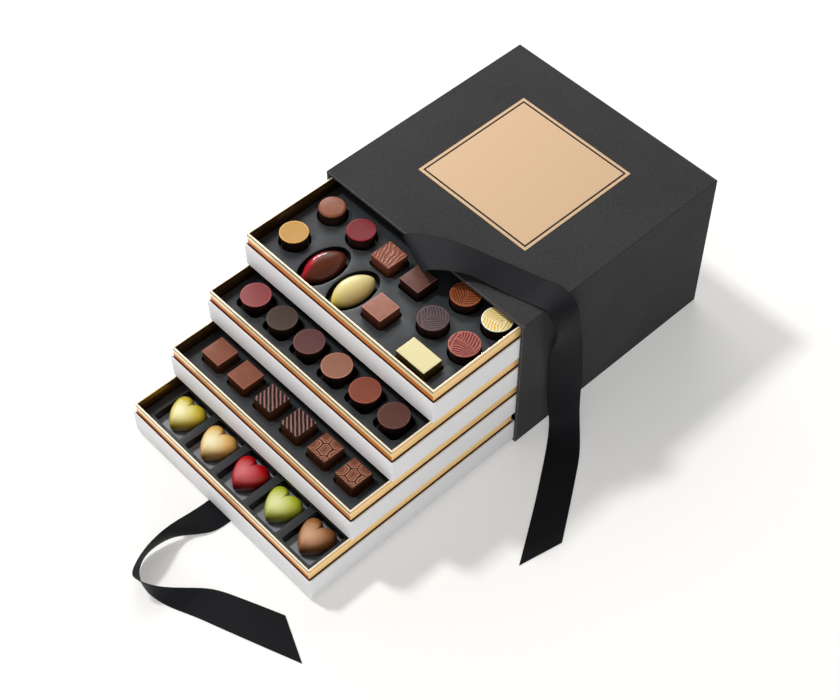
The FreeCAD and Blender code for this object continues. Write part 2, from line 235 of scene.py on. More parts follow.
# Heart sections from the foot to the crown: share of height and share of outline
heart_section_shares = (
    (0.0, 0.86), (0.05, 0.92), (0.16, 0.985), (0.32, 1.0), (0.5, 0.985), (0.66, 0.93), (0.79, 0.84),
    (0.89, 0.72), (0.96, 0.55), (0.99, 0.36), (1.0, 0.18),
)

# Tray 1, as shares of the insert's half width and half depth; each kind comes again turned half round
assorted_place_shares = {
    "mustard_round": (-0.81, -0.73),
    "dome_round": (-0.81, -0.35),
    "red_round": (-0.48, -0.35),
    "egg_oval": (-0.465, -0.74),
    "cream_oval": (-0.14, -0.74),
    "rough_square": (-0.15, -0.365),
    "dark_square": (0.165, -0.365),
    "milk_square": (0.175, -0.745),
    "purple_wave": (0.51, -0.545),
    "copper_wave": (0.51, -0.215),
    "yellow_wave": (0.838, -0.215),
    "red_wave": (0.838, -0.545),
    "foil_ingot": (0.685, -0.845),
}
round_names = ("raspberry", "olive", "plum", "milk", "cinnamon", "dark")
square_names = ("plain", "striped", "crackle")
heart_names = ("yellow", "tan", "red", "green", "brown")

# Ribbons
ribbon_width = 25.0 * mm
ribbon_thickness = 0.35 * mm
ribbon_lift = 0.375 * mm
ribbon_tuck = 14.0 * mm
ribbon_shift_x = -2.0 * mm
ribbon_columns = 12
ribbon_rows = 260
upper_ribbon_length = 404 * mm
lower_ribbon_length = 395 * mm
rib_pitch = 0.55 * mm
selvedge_share = 0.035
# Ribbon routes: pairs of edge points, as shares of the ribbon's width, measured from a named place
upper_ceiling_shares = (
    ((-0.5, 0.8, 0.0), (0.5, 0.8, 0.0)),
    ((-0.5, 0.5, 0.0), (0.5, 0.48, 0.0)),
    ((-0.5, 0.2, -0.01), (0.5, 0.12, -0.01)),
    ((-0.51, -0.05, 0.0), (0.6, -0.32, 0.0)),
)
upper_front_shares = (
    ((-0.54, -0.13, -0.04), (0.78, -0.58, -0.05)),
    ((-0.53, -0.12, 0.05), (0.89, -0.68, 0.04)),
    ((-0.46, -0.03, 0.11), (0.97, -0.63, 0.15)),
    ((-0.22, 0.18, 0.15), (1.12, -0.49, 0.22)),
    ((0.24, 0.46, 0.2), (1.37, -0.3, 0.26)),
    ((0.88, 0.74, 0.23), (1.66, -0.1, 0.26)),
    ((1.56, 0.99, 0.18), (1.96, 0.12, 0.2)),
    ((2.16, 1.25, 0.09), (2.36, 0.3, 0.1)),
)
upper_edge_shares = (
    ((-1.44, 1.48, 0.03), (-1.2, 0.5, 0.03)),
    ((-0.76, 1.7, 0.01), (-0.5, 0.72, 0.01)),
    ((-0.16, 1.82, 0.03), (0.06, 0.84, 0.04)),
    ((0.34, 1.76, -0.06), (0.3, 0.81, -0.09)),
    ((0.54, 1.74, -0.56), (0.5, 0.85, -0.52)),
    ((0.62, 1.82, -1.36), (0.36, 0.94, -1.28)),
    ((0.68, 1.89, -2.32), (0.15, 1.05, -2.2)),
)
upper_floor_shares = (
    ((0.72, 1.94, 2.24), (0.12, 1.12, 2.16)),
    ((0.76, 1.93, 1.04), (0.14, 1.17, 0.96)),
    ((0.96, 1.78, 0.34), (0.3, 1.13, 0.28)),
    ((1.4, 1.36, 0.04), (0.62, 0.76, 0.03)),
    ((2.04, 0.54, 0.0), (1.28, -0.16, 0.0)),
    ((2.68, -0.4, 0.0), (1.92, -1.1, 0.0)),
    ((3.42, -1.52, 0.0), (3.11, -2.96, 0.0)),
)
lower_run_shares = (
    ((-0.5, 0.0, 0.0), (0.5, 0.0, 0.0)),
    ((-0.5, -2.9, 0.0), (0.5, -2.9, 0.0)),
    ((-0.5, -5.7, 0.0), (0.5, -5.7, 0.0)),
)
lower_loop_shares = (
    ((-0.5, 0.44, 0.0), (0.5, 0.44, 0.0)),
    ((-0.5, -0.16, 0.01), (0.5, -0.12, 0.0)),
    ((-0.42, -0.8, 0.22), (0.45, -0.54, 0.02)),
    ((-0.28, -1.5, 0.56), (0.22, -1.0, 0.07)),
    ((-0.09, -2.15, 0.82), (-0.1, -1.5, 0.11)),
    ((0.11, -2.78, 0.89), (-0.24, -2.07, 0.11)),
    ((0.27, -3.17, 0.82), (-0.21, -2.56, 0.05)),
    ((0.47, -3.37, 0.81), (0.03, -2.94, 0.01)),
    ((0.75, -3.31, 0.77), (0.46, -3.15, 0.0)),
    ((1.08, -3.02, 0.58), (1.0, -3.16, 0.0)),
    ((1.42, -2.46, 0.26), (1.54, -3.02, 0.0)),
    ((1.92, -1.82, 0.05), (2.2, -2.73, 0.0)),
    ((2.56, -1.45, 0.01), (2.88, -2.46, 0.0)),
    ((3.97, -0.83, 0.0), (5.43, -1.46, 0.0)),
)


# Modelling steps


def alone(piece):
    """Select one object by itself and make it the active one."""
    bpy.ops.object.select_all(action="DESELECT")
    piece.select_set(True)
    bpy.context.view_layer.objects.active = piece


def added(name):
    """Name the active object, such as a primitive that was just added."""
    piece = bpy.context.object
    piece.name = name
    piece.data.name = name
    return piece


def begin(piece, kind="FACE", select="DESELECT"):
    """Open a piece for editing with nothing or everything selected."""
    alone(piece)
    bpy.ops.object.mode_set(mode="EDIT")
    bpy.ops.mesh.select_mode(type=kind)
    bpy.ops.mesh.select_all(action=select)


def done():
    bpy.ops.object.mode_set(mode="OBJECT")


def pick(piece, kind, wanted):
    """In edit mode, select the faces or edges for which wanted holds."""
    bpy.ops.mesh.select_all(action="DESELECT")
    shape = bmesh.from_edit_mesh(piece.data)
    shape.normal_update()
    for part in getattr(shape, kind):
        if wanted(part):
            part.select_set(True)
    shape.select_flush_mode()
    bmesh.update_edit_mesh(piece.data)


def faces_up(face):
    return face.normal.z > 0.9


def lies_level(face):
    return face.normal.z > 0.999


def finish_with(piece, kind, **settings):
    """Add a modifier with these settings and apply it."""
    alone(piece)
    modifier = piece.modifiers.new(kind.lower(), kind)
    for name, value in settings.items():
        setattr(modifier, name, value)
    bpy.ops.object.modifier_apply(modifier=modifier.name)


def soften(piece, width, segments, degrees):
    """Round the edges that turn by more than an angle."""
    limit = math.radians(degrees)
    finish_with(piece, "BEVEL", width=width, segments=segments, limit_method="ANGLE", angle_limit=limit)


def smooth(piece, degrees=35.0):
    alone(piece)
    bpy.ops.object.shade_smooth_by_angle(angle=math.radians(degrees))


def between(piece, low, high):
    """Stretch a unit cube's mesh between two corners."""
    begin(piece, select="SELECT")
    bpy.ops.transform.resize(value=high - low, center_override=(0, 0, 0))
    bpy.ops.transform.translate(value=(low + high) / 2)
    done()
    return piece


def joined(name, parts):
    """Join several objects into one piece."""
    bpy.ops.object.select_all(action="DESELECT")
    for part in parts:
        part.select_set(True)
    bpy.context.view_layer.objects.active = parts[0]
    bpy.ops.object.transform_apply(location=True, rotation=True, scale=True)
    if len(parts) > 1:
        bpy.ops.object.join()
    return added(name)


def copied(form, place):
    copy = form.copy()
    copy.data = form.data.copy()
    copy.location = place
    scene.collection.objects.link(copy)
    return copy


def set_out(form, places, finishes):
    """Copies of a form, each with its own mesh and finishes, at a list of places and turns."""
    copies = []
    for number, (place, turn) in enumerate(places):
        copy = copied(form, place)
        for finish in finishes:
            copy.data.materials.append(finish)
        copy.rotation_euler = (0.0, 0.0, turn)
        seed = copy.data.attributes.new("copy_number", "FLOAT", "POINT")
        seed.data.foreach_set("value", [float(number)] * len(copy.data.vertices))
        copies.append(copy)
    return copies


def remember_places(form, origin=Vector((0, 0, 0))):
    """Keep each point's place on the form, in millimetres, for patterns that follow the form."""
    store = form.data.attributes.new("form_place", "FLOAT_VECTOR", "POINT")
    for point, kept in zip(form.data.vertices, store.data):
        kept.vector = (point.co - origin) / mm


def finished(form, degrees, top=None):
    """Smooth a form, give its faces above a top height the second finish, and keep its places."""
    smooth(form, degrees)
    if top:
        for face in form.data.polygons:
            face.material_index = 1 if face.center.z > top else 0
    remember_places(form)
    return form


def discard(pieces):
    """Remove what was only there to be copied."""
    for piece in {piece.name: piece for piece in pieces}.values():
        bpy.data.objects.remove(piece, do_unlink=True)


# Finishes: node helpers


def tone(red, green, blue):
    """A colour as it looks on a screen, 0 to 255, in the linear values that a shader takes."""
    shares = [value / 255 for value in (red, green, blue)]
    linear = [share / 12.92 if share <= 0.04045 else ((share + 0.055) / 1.055) ** 2.4 for share in shares]
    return (*linear, 1.0)


def put(tree, kind, inputs=None, **settings):
    """A node with its settings, and its inputs set or linked."""
    node = tree.nodes.new(kind if kind.startswith("Node") else "ShaderNode" + kind)
    for name, value in settings.items():
        setattr(node, name, value)
    for name, value in (inputs or {}).items():
        if isinstance(value, bpy.types.NodeSocket):
            tree.links.new(value, node.inputs[name])
        else:
            node.inputs[name].default_value = value
    return node


def tree_of(*values):
    """The node tree of the first of these values that is a socket."""
    return next(value.id_data for value in values if isinstance(value, bpy.types.NodeSocket))


def maths(operation, first, second=0.0, third=0.0):
    tree = tree_of(first, second, third)
    return put(tree, "Math", {0: first, 1: second, 2: third}, operation=operation).outputs[0]


def plus(first, second):
    return maths("ADD", first, second)


def less(first, second):
    return maths("SUBTRACT", first, second)


def times(first, second):
    return maths("MULTIPLY", first, second)


def unsigned(value):
    return maths("ABSOLUTE", value)


def flat_reach(x, y):
    """How far a place lies from the Z axis."""
    return maths("SQRT", maths("MULTIPLY_ADD", x, x, times(y, y)))


def ranged(value, low, high, to_low=0.0, to_high=1.0):
    """A value brought from one range to another, held at its ends."""
    sockets = {"Value": value, "From Min": low, "From Max": high, "To Min": to_low, "To Max": to_high}
    return put(tree_of(value), "MapRange", sockets).outputs["Result"]


def varied(value, to_low=0.0, to_high=1.0):
    """The middle span of a noise, where most of it lies, brought to another range."""
    return ranged(value, 0.3, 0.7, to_low, to_high)


def mixed(share, first, second):
    """Two colours mixed by a share."""
    tree = tree_of(share, first, second)
    return put(tree, "Mix", {0: share, 6: first, 7: second}, data_type="RGBA").outputs[2]


def clouds(place, scale, detail=2.0, roughness=0.5):
    """A soft noise between 0 and 1."""
    sockets = {"Vector": place, "Scale": scale, "Detail": detail, "Roughness": roughness}
    return put(tree_of(place), "TexNoise", sockets).outputs["Fac"]


def axes(place):
    return put(tree_of(place), "SeparateXYZ", {0: place}).outputs


def object_place(tree):
    return put(tree, "TexCoord").outputs["Object"]


def form_place(tree):
    return put(tree, "Attribute", attribute_name="form_place").outputs["Vector"]


def new_group(name, inputs, outputs):
    """A shader node group with its inputs, outputs and their end nodes."""
    group = bpy.data.node_groups.new(name, "ShaderNodeTree")
    for label, value in inputs.items():
        socket = group.interface.new_socket(name=label, in_out="INPUT", socket_type="NodeSocketFloat")
        socket.default_value = value
    for label in outputs:
        group.interface.new_socket(name=label, in_out="OUTPUT", socket_type="NodeSocketFloat")
    return group, put(group, "NodeGroupInput").outputs


def use_group(tree, group, **values):
    node = tree.nodes.new("ShaderNodeGroup")
    node.node_tree = group
    for label, value in values.items():
        node.inputs[label.replace("_", " ")].default_value = value
    return node.outputs


def new_finish(name):
    finish = bpy.data.materials.new(name)
    finish.use_nodes = True
    finish.node_tree.nodes.clear()
    return finish, finish.node_tree


def close_finish(finish, colour, roughness, height, depth, strength, shine=0.5, metal=0.0, coat=None):
    """The shader of a finish with its bump; a coat has its weight and roughness."""
    tree = finish.node_tree
    bump = put(tree, "Bump", {"Height": height, "Distance": depth, "Strength": strength})
    sockets = {"Base Color": colour, "Roughness": roughness, "Normal": bump.outputs["Normal"]}
    sockets.update({"Specular IOR Level": shine, "Metallic": metal})
    if coat:
        sockets["Coat Weight"], sockets["Coat Roughness"] = coat
    shader = put(tree, "BsdfPrincipled", sockets)
    put(tree, "OutputMaterial", {"Surface": shader.outputs["BSDF"]})
    return finish


# Finishes: shared effects


def make_paper_grain():
    """Fine fibres and a slow unevenness, for papers and boards."""
    group, given = new_group("paper_grain", {"Grain per metre": 2600.0}, ("Shade", "Height"))
    place = object_place(group)
    fine = clouds(place, given["Grain per metre"], 3.0, 0.65)
    slow = clouds(place, 18.0, 2.0)
    shade = plus(times(fine, 0.8), times(slow, 0.2))
    put(group, "NodeGroupOutput", {"Shade": shade, "Height": fine})
    return group


def make_edge_rub():
    """A mask of rubbed edges, broken up by noise."""
    group, given = new_group("edge_rub", {"Width": rub_width}, ("Mask",))
    rounded = put(group, "Bevel", {"Radius": given["Width"]}, samples=6).outputs["Normal"]
    flat = put(group, "NewGeometry").outputs["Normal"]
    facing = put(group, "VectorMath", {0: rounded, 1: flat}, operation="DOT_PRODUCT").outputs["Value"]
    edge = ranged(facing, 0.995, 0.8)
    broken = varied(clouds(object_place(group), 300.0, 3.0), 0.35, 1.0)
    put(group, "NodeGroupOutput", {"Mask": times(edge, broken)})
    return group


def make_foil_film():
    """Tiny waves and rub marks of foil on card."""
    group, given = new_group("foil_film", {"Waves per metre": 60.0}, ("Height", "Rub"))
    place = object_place(group)
    waves = clouds(place, given["Waves per metre"], 2.0)
    rub = clouds(place, 2400.0, 2.0, 0.5)
    put(group, "NodeGroupOutput", {"Height": waves, "Rub": rub})
    return group


def make_chocolate_skin():
    """Mottling, bloom and a faint unevenness, different on each copy."""
    group, given = new_group("chocolate_skin", {"Mottle per mm": 0.9}, ("Shade", "Bloom", "Height"))
    number = put(group, "Attribute", attribute_name="copy_number").outputs["Fac"]
    offset = put(group, "CombineXYZ", {"X": times(number, 31.7)}).outputs[0]
    place = put(group, "VectorMath", {0: form_place(group), 1: offset}, operation="ADD").outputs[0]
    fine = clouds(place, given["Mottle per mm"], 4.0, 0.6)
    broad = clouds(place, 0.16, 2.0)
    dust = clouds(place, 4.0, 2.0, 0.7)
    shade = plus(times(fine, 0.55), times(broad, 0.45))
    put(group, "NodeGroupOutput", {"Shade": shade, "Bloom": dust, "Height": fine})
    return group


def make_ripple_print():
    """Three fields of curved lines that meet along two arcs, on a round top."""
    group, given = new_group("ripple_print", {"Turn": 0.0, "Pitch": 2.0}, ("Line",))
    place = form_place(group)
    wander = put(group, "TexNoise", {"Vector": place, "Scale": 0.24, "Detail": 1.0}).outputs["Color"]
    wavy = put(group, "VectorMath", {0: wander, 1: (1.8, 1.8, 0.0), 2: place}, operation="MULTIPLY_ADD")
    turned = put(group, "VectorRotate", {"Vector": wavy.outputs[0], "Angle": given["Turn"]}).outputs[0]
    level = put(group, "VectorMath", {0: turned, 1: (1.0, 1.0, 0.0)}, operation="MULTIPLY").outputs[0]
    split = axes(level)

    def reach(middle):
        return put(group, "VectorMath", {0: level, 1: (*middle, 0.0)}, operation="DISTANCE").outputs["Value"]

    left = less(reach(ripple_left_middle), ripple_left_radius)
    spread = plus(split["X"], ripple_low_shift)
    bowed = times(times(spread, spread), ripple_low_bow)
    low = less(plus(split["Y"], bowed), ripple_low_top)
    cross = reach(ripple_right_middle)
    in_low = maths("LESS_THAN", low, 0.0)
    in_left = maths("GREATER_THAN", left, 0.0)
    right_or_low = maths("MULTIPLY_ADD", less(low, cross), in_low, cross)
    phase = maths("MULTIPLY_ADD", less(left, right_or_low), in_left, right_or_low)
    turns = maths("DIVIDE", times(phase, 2 * math.pi), given["Pitch"])
    line = ranged(maths("SINE", turns), -0.25, 0.45)
    left_seam, low_seam = [ranged(unsigned(seam), *ripple_seam_fade) for seam in (left, low)]
    seams = maths("MAXIMUM", left_seam, times(low_seam, less(1.0, in_left)))
    put(group, "NodeGroupOutput", {"Line": maths("MAXIMUM", line, seams)})
    return group


paper_grain = make_paper_grain()
edge_rub = make_edge_rub()
foil_film = make_foil_film()
chocolate_skin = make_chocolate_skin()
ripple_print = make_ripple_print()


# Finishes: case, trays and ribbons


def paper_finish(name, dark, light, rough, rub, grain=2600.0, shine=0.2, crease=None):
    """Embossed paper between two tones, with rubbed edges; away from the opening they can be dark creases."""
    finish, tree = new_finish(name)
    fibre = use_group(tree, paper_grain, Grain_per_metre=grain)
    worn = use_group(tree, edge_rub, Width=crease_width if crease else rub_width)
    if crease:
        back = axes(object_place(tree))["Y"]
        rub = mixed(ranged(back, *opening_fade), rub, crease)
    sheet = mixed(varied(fibre["Shade"]), dark, light)
    colour = mixed(worn["Mask"], sheet, rub)
    roughness = varied(fibre["Shade"], rough + rough_spread, rough - rough_spread)
    return close_finish(finish, colour, roughness, fibre["Height"], 0.05 * mm, 0.6, shine=shine)


def gold_card_finish(name, upper, lower, score_reflection, inside_shade, metal):
    """Gold card with its light painted in: a pale edge as a painted highlight, a scored line below it
    darkened as a painted reflection, upper and lower bands as painted reflections, a dark foot as painted
    shade and a dark brown share as painted shade on inner faces.
    """
    finish, tree = new_finish(name)
    film = use_group(tree, foil_film, Waves_per_metre=55.0)
    fall = times(axes(form_place(tree))["Z"], -1.0)
    # The upper and lower bands are painted reflections, one pale and one orange.
    low_reflection_band = mixed(film["Rub"], lower, scaled(lower, 0.92))
    face = mixed(ranged(fall, *collar_reflection_band_fade), low_reflection_band, upper)
    # A thin dark line at the card's score, darkened as a painted reflection.
    from_score = unsigned(less(fall, collar_score_fall))
    face = mixed(ranged(from_score, *collar_score_reflection_fade), face, score_reflection)
    # A dark foot of painted shade where the collar meets the white wall; inner faces take a dark brown share
    # of painted shade.
    face = mixed(ranged(fall, *collar_foot_shade_fade), face, tone(70, 28, 8))
    face = mixed(inside_shade, face, tone(108, 74, 36))
    # A pale cream edge: painted highlight.
    edge = ranged(fall, *collar_edge_highlight_fade)
    colour = mixed(edge, face, tone(255, 240, 214))
    roughness = maths("MULTIPLY_ADD", edge, 0.16, varied(film["Rub"], 0.24, 0.27))
    return close_finish(finish, colour, roughness, film["Height"], 0.1 * mm, 0.4, metal=metal)


def label_foil_finish():
    """Satin rose-gold foil with one thin printed border line."""
    finish, tree = new_finish("label_foil")
    low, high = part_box("top_label")
    middle = (low + high) / 2
    split = axes(put(tree, "Mapping", {"Vector": object_place(tree), "Location": -middle}).outputs[0])
    outwards = maths("MAXIMUM", unsigned(split["X"]), unsigned(split["Y"]))
    from_line = unsigned(less(outwards, (high.x - low.x) / 2 - label_line_inset))
    half_line = label_line_width / 2
    line = ranged(from_line, half_line + label_line_blur, half_line - label_line_blur)
    film = use_group(tree, foil_film, Waves_per_metre=240.0)
    foil = mixed(film["Rub"], tone(203, 169, 131), tone(195, 160, 121))
    colour = mixed(line, foil, tone(14, 8, 6))
    roughness = maths("MULTIPLY_ADD", line, 0.5, varied(film["Rub"], 0.34, 0.46))
    metallic = ranged(line, 0.0, 1.0, 0.18, 0.0)
    return close_finish(finish, colour, roughness, film["Height"], 0.12 * mm, 0.5, metal=metallic)


def insert_plastic_finish(name, pocket_floor_reflection=None):
    """Satin black moulded sheet, glossier in its pockets, with a painted highlight round the pocket rims and
    painted shade on the pocket walls; the pocket floors can take a paler tone as a painted reflection.
    """
    finish, tree = new_finish(name)
    place = object_place(tree)
    haze = clouds(place, 45.0, 3.0)
    grain = clouds(place, 1800.0, 2.0)
    fall = times(axes(form_place(tree))["Z"], -1.0)
    colour = mixed(haze, tone(15, 17, 19), tone(21, 23, 25))
    # Darker pocket walls: painted shade.
    colour = mixed(ranged(fall, *pocket_wall_shade_fade), colour, tone(14, 14, 15))
    # A paler pocket floor: painted reflection.
    if pocket_floor_reflection:
        colour = mixed(ranged(fall, *pocket_floor_reflection_fade), colour, pocket_floor_reflection)
    # A pale line round the pocket rims: painted highlight.
    from_rim_highlight = unsigned(less(fall, pocket_rim_highlight_fall))
    colour = mixed(ranged(from_rim_highlight, *pocket_rim_highlight_fade), colour, tone(82, 85, 88))
    sunk = ranged(fall, *pocket_sunk_fade)
    roughness = maths("MULTIPLY_ADD", sunk, -0.1, varied(haze, 0.38, 0.46))
    coat = (times(sunk, 0.4), 0.16)
    return close_finish(finish, colour, roughness, grain, 0.02 * mm, 0.5, shine=0.38, coat=coat)


def ribbon_finish(name, length):
    """Fine ribbed black ribbon with a firmer woven edge; the pattern follows the strip."""
    finish, tree = new_finish(name)
    flat = axes(put(tree, "TexCoord").outputs["UV"])
    run = times(flat["Y"], length)
    twill = maths("MULTIPLY_ADD", flat["X"], ribbon_width, run)
    ribs, threads = [maths("SINE", times(way, 2 * math.pi / rib_pitch)) for way in (run, twill)]
    from_edge = maths("MINIMUM", flat["X"], less(1.0, flat["X"]))
    selvedge = ranged(from_edge, selvedge_share, selvedge_share * 0.7)
    weave = plus(times(ribs, 0.35), times(threads, 0.15))
    lint = clouds(object_place(tree), 900.0, 3.0)
    cloth = mixed(plus(weave, lint), tone(19, 20, 22), tone(30, 31, 34))
    colour = mixed(times(selvedge, 0.5), cloth, tone(15, 15, 15))
    roughness = varied(lint, 0.5, 0.62)
    return close_finish(finish, colour, roughness, weave, 0.06 * mm, 0.5, shine=0.1)


# Finishes: chocolates


def rim_highlight_mask(tree, kind, inner, outer):
    """1 along the border of a round or square top, between two distances from its middle, where a painted
    highlight goes.
    """
    split = axes(form_place(tree))
    if kind == "round":
        reach = flat_reach(split["X"], split["Y"])
    else:
        reach = maths("MAXIMUM", unsigned(split["X"]), unsigned(split["Y"]))
    return ranged(reach, inner, outer)


def crown_sheen_mask(tree):
    """1 on a heart's crown where its painted sheen goes, a little towards its tip, fading out all round."""
    split = axes(form_place(tree))
    across = less(split["X"], crown_sheen_middle.x)
    along = less(split["Y"], crown_sheen_middle.y)
    near = ranged(flat_reach(across, along), *crown_sheen_fade)
    return times(near, ranged(split["Z"], *crown_sheen_rise_fade))


def scaled(colour, share):
    return tuple(min(1.0, part * share) for part in colour[:3]) + (1.0,)


def new_chocolate(name):
    """A new finish with the skin that every chocolate has."""
    finish, tree = new_finish(name)
    return finish, tree, use_group(tree, chocolate_skin)


def chocolate_finish(
    name, colour, deep=None, rough=0.42, height=17.5, pale=1.18, shine=0.2, rim=None, crown=None
):
    """Moulded or enrobed chocolate: mottled, deeper towards its foot (on the hearts partly painted shade),
    with a painted sheen on its crown or a painted highlight round its rim.
    """
    finish, tree, skin = new_chocolate(name)
    mottle = ranged(skin["Shade"], 0.32, 0.68)
    body = mixed(mottle, scaled(colour, 2 - pale), scaled(colour, pale))
    # Deeper towards the foot; on the hearts this is partly their airbrushed shading and partly painted shade
    # on flanks turned from the lamps.
    if deep:
        rise = axes(form_place(tree))["Z"]
        body = mixed(ranged(rise, height * 0.75, height * 0.15), body, deep)
    # A pale crown: painted sheen.
    if crown:
        body = mixed(crown_sheen_mask(tree), body, crown)
    if rim:
        # A pale line round the rim: painted highlight.
        body = mixed(rim_highlight_mask(tree, *rim), body, scaled(colour, 1.6))
    roughness = varied(skin["Bloom"], rough - rough_spread, rough + rough_spread)
    return close_finish(finish, body, roughness, skin["Height"], 0.08 * mm, 0.5, shine=shine)


def ripple_finish(name, ground, line, turn):
    """A round top printed with wavy lines, with a painted highlight round its rim."""
    finish, tree, skin = new_chocolate(name)
    printed = use_group(tree, ripple_print, Turn=math.radians(ripple_turn - turn), Pitch=ripple_pitch)
    colour = mixed(printed["Line"], ground, line)
    colour = mixed(varied(skin["Shade"], 0.0, 0.25), colour, ground)
    colour = mixed(rim_highlight_mask(tree, *ripple_rim_highlight), colour, scaled(line, 1.15))
    roughness = varied(skin["Bloom"], 0.36, 0.48)
    return close_finish(finish, colour, roughness, printed["Line"], 0.2 * mm, 0.4, shine=0.2)


def relief_finish(name, ground, ridge, rough=0.4, groove=None):
    """A top whose raised lines and grooves are different tones, from the relief kept in its mesh."""
    finish, tree, skin = new_chocolate(name)
    raised = put(tree, "Attribute", attribute_name="relief").outputs["Fac"]
    ridge_fade = (0.55, 0.85) if groove else (0.3, 0.75)
    colour = mixed(ranged(raised, *ridge_fade), ground, ridge)
    colour = mixed(varied(skin["Shade"], 0.0, 0.3), colour, ground)
    if groove:
        colour = mixed(ranged(raised, 0.45, 0.15), colour, groove)
    roughness = varied(skin["Bloom"], rough - rough_spread, rough + rough_spread)
    return close_finish(finish, colour, roughness, skin["Height"], 0.08 * mm, 0.5, shine=0.25)


def egg_finish():
    """Glossy dark oval with an airbrushed red flank."""
    finish, tree, skin = new_chocolate("egg_shell")
    split = axes(form_place(tree))
    lean = maths("MULTIPLY_ADD", split["Y"], 0.34, split["X"])
    wander = maths("MULTIPLY_ADD", skin["Shade"], 0.8, lean)
    dark = mixed(skin["Shade"], tone(80, 36, 20), tone(106, 50, 30))
    colour = mixed(ranged(wander, -3.8, -5.2), dark, tone(164, 10, 30))
    roughness = varied(skin["Bloom"], 0.18, 0.24)
    return close_finish(finish, colour, roughness, skin["Height"], 0.04 * mm, 0.4, shine=0.3)


def cream_finish():
    """Pale oval, lemon at its near tip, going from ivory along its ridge to gold on its far flank as painted
    light and shade.
    """
    finish, tree, skin = new_chocolate("cream_shell")
    split = axes(form_place(tree))
    ivory = mixed(skin["Shade"], tone(230, 214, 142), tone(238, 226, 160))
    # Ivory towards the ridge is painted light; deeper gold on the far flank is painted shade.
    body = mixed(ranged(split["X"], -3.0, 9.0), ivory, tone(212, 178, 106))
    colour = mixed(ranged(split["Y"], -10.0, -19.0), body, tone(226, 204, 72))
    roughness = varied(skin["Bloom"], 0.3, 0.4)
    return close_finish(finish, colour, roughness, skin["Height"], 0.04 * mm, 0.4, shine=0.5)


def ingot_foil_finish(name, bright, dull, rough, waves, depth, metal):
    """Pale gold foil, crinkled."""
    finish, tree = new_finish(name)
    film = use_group(tree, foil_film, Waves_per_metre=waves)
    colour = mixed(film["Rub"], bright, dull)
    roughness = varied(film["Rub"], rough - 0.05, rough + 0.08)
    return close_finish(finish, colour, roughness, film["Height"], depth, 0.6, metal=metal)


wrap_paper = paper_finish(
    "wrap_paper", tone(49, 48, 49), tone(68, 67, 67), 0.6, tone(112, 111, 110), 1100.0, 0.04, tone(26, 26, 26)
)
liner_paper = paper_finish("liner_paper", tone(20, 20, 21), tone(27, 27, 28), 0.7, tone(40, 40, 40))
base_paper = paper_finish("base_paper", tone(28, 28, 28), tone(36, 36, 36), 0.7, tone(60, 60, 60))
grey_board = paper_finish("grey_board", tone(128, 124, 118), tone(146, 142, 136), 0.85, tone(160, 156, 150))
tray_paper = paper_finish(
    "tray_paper", tone(230, 230, 232), tone(242, 242, 243), 0.6, tone(246, 246, 246), 1300.0
)
# Copies of the card for each way a face turns, each with its own painted light: pale and orange bands of
# painted reflection on the front faces, a lighter painted reflection on the side faces, and a darker share of
# painted shade on the inner faces.
gold_card = gold_card_finish("gold_card", tone(255, 240, 192), tone(224, 124, 28), tone(84, 32, 8), 0.0, 0.15)
gold_card_side_reflection = gold_card_finish(
    "gold_card_side_reflection", tone(255, 218, 150), tone(255, 208, 136), tone(222, 164, 98), 0.0, 0.12
)
gold_card_inside_shade = gold_card_finish(
    "gold_card_inside_shade", tone(255, 226, 160), tone(206, 118, 36), tone(208, 122, 48), 0.85, 0.9
)
insert_plastic = insert_plastic_finish("insert_plastic")
# The heart pockets' floors are paler as a painted reflection.
heart_insert_plastic = insert_plastic_finish("heart_insert_plastic", tone(146, 150, 156))

dark_side = chocolate_finish("dark_side", tone(38, 21, 16), tone(26, 14, 11), 0.4)
milk_side = chocolate_finish("milk_side", tone(100, 56, 40), tone(74, 40, 26), 0.4)
# Amber sides turn golden towards their foot: partly their own caramel tone, partly painted glints.
amber_side = chocolate_finish("amber_side", tone(84, 50, 30), tone(146, 98, 36), 0.36, 12.0, 1.4)

round_tops = {
    "mustard": tone(196, 148, 76),
    "red": tone(120, 26, 34),
    "raspberry": tone(147, 77, 78),
    "olive": tone(77, 65, 57),
    "plum": tone(101, 67, 65),
    "milk": tone(154, 107, 88),
    "cinnamon": tone(135, 74, 57),
    "dark": tone(94, 60, 53),
}
ripple_tops = {
    "purple": (tone(44, 42, 52), tone(104, 77, 73), 30),
    "copper": (tone(92, 44, 20), tone(160, 90, 54), -60),
    "yellow": (tone(232, 188, 76), tone(255, 246, 204), 190),
    "red": (tone(108, 20, 24), tone(180, 106, 94), 0),
}
# Each heart: its shell, a deeper tone towards its foot that is partly airbrushed colour and partly painted
# shade, and a pale crown that is a painted sheen.
heart_shells = {
    "yellow": (tone(228, 206, 60), tone(138, 104, 6), tone(255, 248, 192)),
    "tan": (tone(246, 196, 108), tone(148, 90, 24), tone(255, 244, 198)),
    "red": (tone(190, 4, 24), tone(98, 0, 10), tone(214, 104, 110)),
    "green": (tone(192, 200, 52), tone(104, 112, 6), tone(232, 234, 166)),
    "brown": (tone(166, 106, 60), tone(92, 48, 20), tone(208, 162, 124)),
}


# Case


def dress_case():
    """Finishes for the CAD nodes of the case that stay as they are."""
    finishes = {
        "sleeve_wrap_paper": wrap_paper,
        "sleeve_liner_paper": liner_paper,
        "sleeve_base_card": base_paper,
        "top_label": label_foil_finish(),
    }
    for side in ("top", "bottom", "left", "right", "back"):
        finishes["sleeve_" + side + "_board"] = grey_board
    for node, finish in finishes.items():
        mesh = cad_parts[node].data
        mesh.materials.clear()
        mesh.materials.append(finish)


# Ribbons


